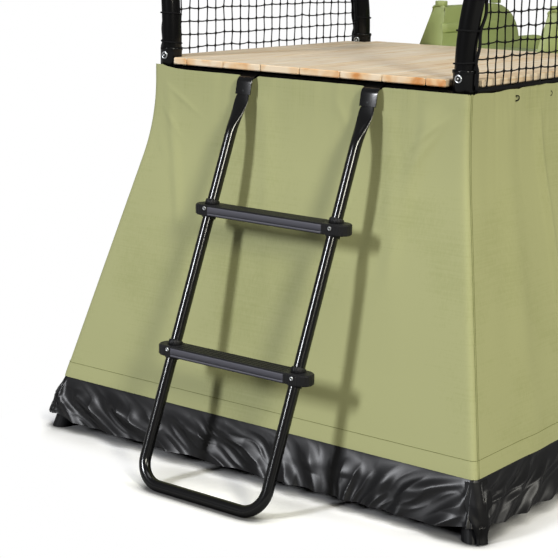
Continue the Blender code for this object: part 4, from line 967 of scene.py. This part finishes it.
floor.data.materials.append(floorMaterial)
scene.collection.objects.link(floor)

# A white room: full white where it is seen, a plain even light where it only lights.
world = bpy.data.worlds.new("white_room")
scene.world = world
world.use_nodes = True
room = world.node_tree
background = room.nodes["Background"]
background.inputs["Color"].default_value = (1, 1, 1, 1)
glow = addNode(room, "MapRange", seenShare(room), To_Min=stage["roomLight"], To_Max=1.0)
feed(background.inputs["Strength"], glow)

# Two main lamps and three soft fills, given by the way to them as seen from the ladder: degrees to the right
# of the front and above level. Then distance, width and height in metres, watts, colour, and if it gleams.
lamps = {"key": (-19, 27, 10.0, 1.1, 2.2, 620, (0.985, 1.0, 1.04), True),
         "second": (62, 27, 10.0, 1.5, 2.6, 530, (1.0, 0.965, 0.82), True),
         "top": (10, 84, 5.0, 2.6, 2.6, 46, (1.0, 1.0, 1.0), True),
         "right": (104, 30, 10.0, 2.6, 2.6, 330, (1.0, 0.98, 0.9), True),
         "back": (212, 20, 10.0, 2.6, 2.6, 420, (1.0, 1.0, 1.0), False)}
lampTarget = Vector((0.0, towerY - 0.65, 0.5))
for name, (side, above, distance, width, height, power, colour, gleam) in lamps.items():
    data = bpy.data.lights.new(name, "AREA")
    data.shape = "RECTANGLE"
    data.size, data.size_y = width, height
    data.energy, data.color = power, colour
    lamp = bpy.data.objects.new(name, data)
    lamp.visible_glossy = gleam
    side, above = math.radians(side), math.radians(above)
    way = Vector((math.sin(side) * math.cos(above), -math.cos(side) * math.cos(above), math.sin(above)))
    lamp.location = lampTarget + way * distance
    lamp.rotation_euler = (-way).to_track_quat("-Z", "Y").to_euler()
    scene.collection.objects.link(lamp)

# Camera: its place, way and focal length in pixels were fitted to the photo, which is 558 pixels wide.
view = dict(
    azimuth=math.radians(37.5385), height=math.radians(12.5687), roll=math.radians(0.9597),
    place=(2.42425, -3.71884, 1.39356), focal=1574.31, pixels=558, sensor=36)
level = math.cos(view["height"])
forward = Vector((-math.sin(view["azimuth"]) * level, math.cos(view["azimuth"]) * level,
                  -math.sin(view["height"])))
right = forward.cross(Vector(upAxis)).normalized()
up = right.cross(forward)
tiltedRight = right * math.cos(view["roll"]) + up * math.sin(view["roll"])
tiltedUp = up * math.cos(view["roll"]) - right * math.sin(view["roll"])
camera = bpy.data.objects.new("camera", bpy.data.cameras.new("camera"))
camera.data.sensor_width = view["sensor"]
camera.data.lens = view["sensor"] * view["focal"] / view["pixels"]
camera.data.clip_end = 200
axes = Matrix((tiltedRight, tiltedUp, -forward)).transposed()
camera.matrix_world = Matrix.Translation(Vector(view["place"]) + Vector((0, towerY, 0))) @ axes.to_4x4()
scene.collection.objects.link(camera)
scene.camera = camera
scene.view_settings.view_transform = "Standard"

print("stage")
